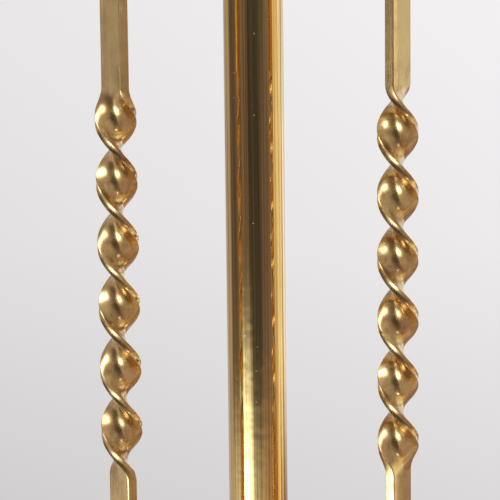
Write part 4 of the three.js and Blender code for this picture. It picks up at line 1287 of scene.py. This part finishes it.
shell_low, shell_high, shell_radius = span("holder_shell")
shell_wall = 0.0008
shell_waist = 0.0004
shell_waist_radius = shell_radius - shell_waist
shell_shoulder = 0.003
shell_waist_low, shell_waist_high = cap_high + shell_shoulder, shell_high - shell_shoulder
spindle_low, spindle_high, _ = span("switch_spindle")
spindle_radius = 0.002
spindle_height = (spindle_low + spindle_high) / 2
spindle_hole = ((0, 0, spindle_height), (0, -2 * shell_radius, spindle_height), spindle_radius + fit_gap)
holder_shell = turned("spun_holder_shell", 72, spun_brass, [
    (shell_radius, shell_low), (shell_radius, shell_waist_low),
    (shell_waist_radius, shell_waist_low + shell_waist),
    (shell_waist_radius, shell_waist_high - shell_waist), (shell_radius, shell_waist_high),
    (shell_radius, shell_high), (shell_radius - shell_wall, shell_high),
    (shell_radius - shell_wall, shell_low),
], ease=0.0003)
settle(bored(holder_shell, spindle_hole), "brass", "holder_shell")

# pressed fibre board is matt, with flecks of fibre
fibre_board = surface("pressed_fibre_board", "#8a7b66", "#6f604c", 3.0, (0.4, 0.4, 2.0), 0.85, 0.00004)
liner_low, liner_high, liner_radius = span("holder_insulator")
liner_wall = 0.0007
liner = tube_outline(liner_radius, liner_radius - liner_wall, liner_low, liner_high)
liner = bored(turned("holder_liner", 72, fibre_board, liner), spindle_hole)
settle(liner, "fibre", "holder_insulator")

# moulded phenolic is brown, hard and a little shiny, and pressed aluminium is pale and soft
moulded_phenolic = surface(
    "moulded_brown_phenolic", "#3a2415", "#46301f", 2.5, (0.8, 0.8, 0.8), 0.42, 0.00002, Coat_Weight=0.2,
)
pressed_aluminium = surface(
    "pressed_aluminium", "#cfd0cd", "#b9bab7", 9.0, (2.0, 2.0, 0.6), 0.3, 0.00002, Metallic=1.0,
)
finished(moulded_phenolic, "holder_core")
finished(pressed_aluminium, "screw_shell")
finished(turned_brass, "centre_contact", "terminal_screw_1", "terminal_screw_2")


# Switch
# A ribbed knob of moulded plastic turns a steel spindle, which runs through the shell into the holder's
# core.
knob_back, knob_front = (corner.y for corner in reversed(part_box("switch_knob")))
knob_length = knob_back - knob_front
knob_radius = 0.0065
knob_ribs = 20
knob_rib_depth = 0.0006
knob_edge = 0.0008
knob_face = knob_length - knob_edge / 2
knob_bore = spindle_radius + fit_gap
knob_bore_depth = 0.008
knob_skirt = 0.0025
knob_dish_radii = (knob_radius * 0.6, knob_radius * 0.5)
towards_front = Matrix.Rotation(math.pi / 2, 4, "X")
spindle_back, spindle_front = (corner.y for corner in reversed(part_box("switch_spindle")))
spindle_length = spindle_back - spindle_front
spindle = turned("switch_shaft", 24, zinc_plate, [
    (0, 0), (spindle_radius, 0), (spindle_radius, spindle_length), (0, spindle_length),
], ease=0.0003)
spindle.transform(Matrix.Translation((0, spindle_back, spindle_height)) @ towards_front)
settle(spindle, "steel", "switch_spindle", body="switch_key")


def ribbed(radius, height, turn):
    """Moulds rounded ribs along the knob's side, past its plain skirt."""
    if radius < knob_radius - knob_rib_depth or height < knob_skirt or height > knob_face:
        return radius
    return radius - knob_rib_depth * abs(math.sin(turn * knob_ribs / 2))


knob = turned("ribbed_knob", 160, moulded_plastic, [
    (0, knob_bore_depth), (knob_bore, knob_bore_depth), (knob_bore, 0), (knob_radius, 0),
    (knob_radius, knob_skirt - knob_edge), (knob_radius, knob_skirt + knob_edge / 4),
    *bevel(knob_radius, knob_length, -knob_edge),
    *zip(knob_dish_radii, (knob_length, knob_face)), (0, knob_face),
], ease=0.0005, milled=ribbed)
knob.transform(Matrix.Translation((0, knob_back, spindle_height)) @ towards_front)
settle(knob, "black_plastic", "switch_knob", body="switch_key")


# Bulb
# A blown glass envelope, frosted inside, is cemented in a threaded aluminium base with a soldered tip.
base_low, base_high, base_radius = span("bulb_base")
base_tip_radius = 0.0035
base_tip_flat_radius = base_tip_radius * 0.7
base_tip = base_low + 0.002
base_insulator_radius = 0.009
base_thread_low = base_low + 0.006
base_thread_high = base_high - 0.004
base_thread_pitch = 0.0035
base_thread_depth = 0.0011
base_thread_step = 0.0003
bulb_base = turned("threaded_bulb_base", 64, pressed_aluminium, [
    (0, base_low), (base_tip_flat_radius, base_low), (base_tip_radius, (base_low + base_tip) / 2),
    (base_tip_radius, base_tip), (base_insulator_radius, base_tip),
    *upright_side(base_radius, base_thread_low, base_thread_high, base_thread_step),
    (base_radius, base_high), (0, base_high),
], milled=threaded(base_thread_pitch, base_thread_depth, base_thread_low, base_thread_high))
settle(bulb_base, "aluminium", "bulb_base")

# frosted glass scatters what is behind it, under a smooth gloss
frosted_glass = surface(
    "frosted_glass", "#f6f4ee", "#efece4", 40.0, (1.2, 1.2, 1.2), 0.32, 0.00001,
    IOR=1.5, Transmission_Weight=0.35, Coat_Weight=0.5, Coat_Roughness=0.05,
)
glass_low, glass_high, glass_radius = span("bulb_glass")
glass_wall = 0.001
glass_neck_radius = 0.0124
glass_neck = glass_low + 0.012
glass_swell_radius = 0.0165
glass_swell = glass_low + 0.025
glass_centre = glass_high - glass_radius
swell_end = math.radians(-36)
ball_start = -32


def glass_outline(margin):
    """The envelope's side from its mouth up to its crown, drawn in by a margin."""
    ball = glass_radius - margin
    swell = [
        (glass_neck_radius - margin, glass_low, 0), (glass_neck_radius - margin, glass_neck, 0),
        (glass_swell_radius - margin, glass_swell, 0),
        (ball * math.cos(swell_end), glass_centre + ball * math.sin(swell_end), 0),
    ]
    side = [(point.x, point.y) for point in curve_through(swell, 8)]
    return side + arc(0, glass_centre, ball, ball_start, 90, 28)


bulb_glass = turned("frosted_bulb", 72, frosted_glass, [
    *glass_outline(0), *reversed(glass_outline(glass_wall)),
])
settle(bulb_glass, "glass", "bulb_glass")


# Shade
# Natural linen is laminated to a stiff liner and rolled into a cone, with an overlapped seam at the back.
# Its edges are bound over two wire rings with a strip of the same linen, and three wires carry it on the
# harp.
shade_low, shade_high, shade_low_radius = span("shade_cover")
shade_high_radius = 0.175
shade_taper = (shade_low_radius - shade_high_radius) / (shade_high - shade_low)
shade_slope = math.hypot(1, shade_taper)
binding_thickness = 0.0005
linen_thickness = 0.0004
liner_thickness = 0.0005
glue_gap = 0.00005
seam_width = 0.012
seam_angle = math.pi / 2
seam_ramp = 0.05
shade_steps = 180
seam_steps = 6
binding_width = 0.012
binding_back_width = binding_width * 0.7


def shade_radius(height):
    """The outside of the whole shade at a height."""
    return shade_low_radius - shade_taper * (height - shade_low)


def cone_sheet(name, low, high, depth, thickness, overlap, material):
    """A sheet rolled into the shade's cone, its face lying a depth inside the shade's outside. It starts at
    the seam and ends past it by an overlap, on top of its own start. Its UV map is the cut cloth, in
    metres."""
    around = 2 * math.pi + overlap / shade_low_radius
    columns = shade_steps + (seam_steps if overlap else 0)
    places_round = columns + (1 if overlap else 0)
    rows = 12
    shape = bmesh.new()
    cloth = shape.loops.layers.uv.new("cut_cloth")

    def corner(column, row, inner):
        """A corner of the sheet, on its outer or its inner face."""
        height = low + (high - low) * row / rows
        turn = around * column / columns
        lift = thickness * min(1, max(0, (turn - 2 * math.pi) / seam_ramp + 1)) if overlap else 0
        radius = shade_radius(height) - (depth + inner - lift) * shade_slope
        return shape.verts.new(round_column(seam_angle + turn, radius, height))

    sides = [
        [[corner(column, row, inner) for column in range(places_round)] for row in range(rows + 1)]
        for inner in (0, thickness)
    ]

    def face(*places):
        """A face between places, each a column, a row and a side of the sheet."""
        made = shape.faces.new([sides[side][row][column % places_round] for column, row, side in places])
        for loop, (column, row, _) in zip(made.loops, places):
            along = shade_low_radius * around * column / columns
            loop[cloth].uv = (along, (high - low) * shade_slope * row / rows)

    for column in range(columns):
        after = column + 1
        for row in range(rows):
            face((column, row, 0), (after, row, 0), (after, row + 1, 0), (column, row + 1, 0))
            face((after, row, 1), (column, row, 1), (column, row + 1, 1), (after, row + 1, 1))
        face((column, 0, 1), (after, 0, 1), (after, 0, 0), (column, 0, 0))
        face((column, rows, 0), (after, rows, 0), (after, rows, 1), (column, rows, 1))
    for row in range(rows if overlap else 0):
        face((0, row, 0), (0, row + 1, 0), (0, row + 1, 1), (0, row, 1))
        face((columns, row, 1), (columns, row + 1, 1), (columns, row + 1, 0), (columns, row, 0))
    return smooth(mesh_of(shape, name, material))


def weave_uv(mesh):
    """Lays a UV map in metres on a mesh that goes round the shade, as on the cut cloth."""
    layer = mesh.uv_layers.new(name="cut_cloth")
    for face in mesh.polygons:
        middle = math.atan2(face.center.y, face.center.x)
        for index in face.loop_indices:
            corner = mesh.vertices[mesh.loops[index].vertex_index].co
            aside = (math.atan2(corner.y, corner.x) - middle + math.pi) % (2 * math.pi) - math.pi
            layer.data[index].uv = ((middle + aside) * shade_low_radius, corner.z * shade_slope)


def woven_linen(name, colour, slub_colour, yarn):
    """Plain-woven linen: crossing yarns a spacing in mm apart, thick places along them, and a dry
    surface."""
    slub_width = yarn * 1.6
    made, add = started(name)
    cloth = add("UVMap", uv_map="cut_cloth")
    in_mm = add("VectorMath MULTIPLY", cloth, (1000.0, 1000.0, 1.0))
    wander = add("TexNoise", in_mm, Scale=1 / 30, Detail=2.0).outputs["Color"]
    sway = add("VectorMath SCALE", wander, Scale=2.5)
    swayed = add("VectorMath ADD", in_mm, sway)
    run = add("SeparateXYZ", swayed).outputs
    warp = add("Math PINGPONG", run["X"], yarn / 2)
    weft = add("Math PINGPONG", run["Y"], yarn / 2)
    over = add("TexChecker", swayed, (0, 0, 0, 1), (1, 1, 1, 1), 1 / yarn).outputs["Fac"]
    thread = add("Mix", over, None, warp, weft, data_type="FLOAT")
    weft_slubs = stretched_noise(add, in_mm, (1 / 45, 1 / slub_width, 1.0), Detail=2.0)
    warp_slubs = stretched_noise(add, in_mm, (1 / slub_width, 1 / 60, 1.0), Detail=2.0)
    slubs = add("Math MAXIMUM", weft_slubs, warp_slubs)
    slub_share = add("MapRange", slubs, 0.5, 0.78)
    tint = add("MixRGB", slub_share, linear(colour), linear(slub_colour))
    # painted shade: the colour is darkened to 0.72 in the low places between the yarns, where shade falls
    between = add("MapRange", thread, 0.0, yarn / 3, 0.72, 1.0)
    tint = add("MixRGB", 1.0, tint, between, blend_type="MULTIPLY")
    raised = add("Math MULTIPLY_ADD", slub_share, yarn / 2, thread)
    bump = add("Bump", Height=raised, Strength=0.7, Distance=0.0004)
    dry = {"Roughness": 0.92, "Specular_IOR_Level": 0.2, "Sheen_Weight": 0.25, "Sheen_Roughness": 0.5}
    fabric = add("BsdfPrincipled", tint, Normal=bump, **dry)
    add("OutputMaterial", fabric)
    return made


# real yarns lie about 0.6 mm apart: they are drawn twice as coarse, so that they show
linen = woven_linen("natural_linen", "#e9e0cf", "#c9b998", 1.2)
# the liner is white styrene sheet, smooth and a little shiny
styrene = surface("white_styrene", "#f1efe9", "#eeebe5", 30.0, (3.0, 3.0, 3.0), 0.45, 0.00001)
sheet_low, sheet_high = shade_low + binding_thickness, shade_high - binding_thickness
cover = settle(cone_sheet(
    "linen_cover", sheet_low, sheet_high, binding_thickness, linen_thickness, seam_width, linen,
), "linen", "shade_cover", body="shade")
liner_depth = binding_thickness + linen_thickness + glue_gap
shade_liner = cone_sheet("shade_liner", sheet_low, sheet_high, liner_depth, liner_thickness, 0, styrene)
settle(shade_liner, "linen", body="shade")


pucker_depth = 0.00012


def ruffled(radius, height, turn):
    """Lets a bound strip of cloth rise over the seam, and pucker a little in uneven waves."""
    aside = abs((turn - seam_angle + math.pi) % (2 * math.pi) - math.pi) * shade_low_radius
    lift = linen_thickness * max(0, min(1, 1.5 - aside / seam_width))
    wave = math.sin(turn * 61 + 3 * math.sin(turn * 7)) * math.sin(turn * 17 + 1)
    return radius + lift + pucker_depth * wave


# a section of the folded tape: how far in from the shade's edge each corner is, and how deep inside its face
behind = binding_thickness + linen_thickness + liner_thickness + 2 * glue_gap
tape_back = behind + binding_thickness
tape = [
    (0, 0), (binding_width, 0), (binding_width, binding_thickness), (binding_thickness, binding_thickness),
    (binding_thickness, behind), (binding_back_width, behind), (binding_back_width, tape_back),
    (0, tape_back),
]
for name, edge, way in (("bottom_binding", shade_low, 1), ("top_binding", shade_high, -1)):
    outline = [
        (shade_radius(edge + way * inset) - depth * shade_slope, edge + way * inset)
        for inset, depth in tape[::way]
    ]
    binding = turned(name, 360, linen, outline, ease=0.00025, milled=ruffled)
    weave_uv(binding)
    settle(binding, "linen", body="shade")

wire_inset = 0.0025
shade_wire_radius = 0.0015
shade_wire_sides = 12
shade_wall = 0.0016
ring_margin = shade_wall + (shade_wire_radius + fit_gap) * shade_slope
spider_low = span("shade_spider")[0]
spider_hub_radius = 0.012
spider_hub_thickness = 0.002
spider_hub_high = spider_low + spider_hub_thickness
arm_steps = 12


def shade_ring(name, height):
    """A wire ring just inside the shade, at a height."""
    turns = [2 * math.pi * k / shade_steps for k in range(shade_steps)]
    round_it = [round_column(turn, shade_radius(height) - ring_margin, height) for turn in turns]
    return wire_along(name, round_it, shade_wire_radius, shade_wire_sides, wire_brass, closed=True)


bottom_ring = shade_ring("shade_bottom_ring_wire", shade_low + wire_inset)
settle(bottom_ring, "brass", "shade_bottom_ring", body="shade")

top_ring_height = shade_high - wire_inset
arm_start = Vector((spider_hub_radius - shade_wire_radius, 0, spider_low + spider_hub_thickness / 2))
arm_end = Vector((shade_radius(top_ring_height) - ring_margin, 0, top_ring_height))
arm_line = [arm_start.lerp(arm_end, k / arm_steps) for k in range(arm_steps + 1)]
spider_arm = wire_along("spider_arm", arm_line, shade_wire_radius, shade_wire_sides, wire_brass)
spider_arms = grown("spider_arms", spider_arm, ring_tree, wire_brass, **on_each_leg)
stud_hole = stud_thread_radius + fit_gap
spider_hub = tube_outline(spider_hub_radius, stud_hole, spider_low, spider_hub_high)
spider_hub = turned("spider_hub", 48, turned_brass, spider_hub, ease=0.0005)
spider = joined("shade_top_ring", shade_ring("top_ring_wire", top_ring_height), spider_arms, spider_hub)
settle(spider, "brass", "shade_spider", body="shade")


# Finial
# A turned brass base screws down on the harp's stud, over the shade's spider. A turned ball with a small tip
# is screwed on it.
finial_low, finial_high, finial_radius = span("finial_base")
finial_bore_top = harp_high + 0.0008
finial_skirt = finial_low + 0.007
finial_edge = 0.0006
finial_groove_radius = finial_radius - finial_edge
finial_neck_radius = 0.0048
finial_cove = finial_high - finial_edge
finial_base = turned("turned_finial_base", 64, turned_brass, [
    (0, finial_bore_top), (stud_hole, finial_bore_top), (stud_hole, finial_low),
    *bevel(finial_radius, finial_low, finial_edge),
    (finial_radius, finial_low + 3 * finial_edge), (finial_groove_radius, finial_low + 4 * finial_edge),
    (finial_groove_radius, finial_low + 5 * finial_edge), (finial_radius, finial_low + 6 * finial_edge),
    *bevel(finial_radius, finial_skirt, -finial_edge),
    *arc(finial_groove_radius, finial_cove, finial_groove_radius - finial_neck_radius, 266, 180, 12,
         finial_cove - finial_skirt),
    (finial_neck_radius, finial_high), (0, finial_high),
])
settle(finial_base, "brass", "finial_base", body="finial_foot")

ball_low, ball_high, ball_radius = span("finial_ball")
ball_tip_radius = 0.003
ball_tip = 0.005
ball_neck_angle = math.degrees(math.acos(finial_neck_radius / ball_radius))
ball_centre = ball_high - ball_tip - ball_radius
finial_ball = turned("turned_finial_ball", 72, turned_brass, [
    (0, ball_low), *arc(0, ball_centre, ball_radius, -ball_neck_angle, 72, 36),
    *arc(0, ball_high - ball_tip_radius, ball_tip_radius, -40, 90, 14),
])
settle(finial_ball, "brass", "finial_ball", body="finial_top")
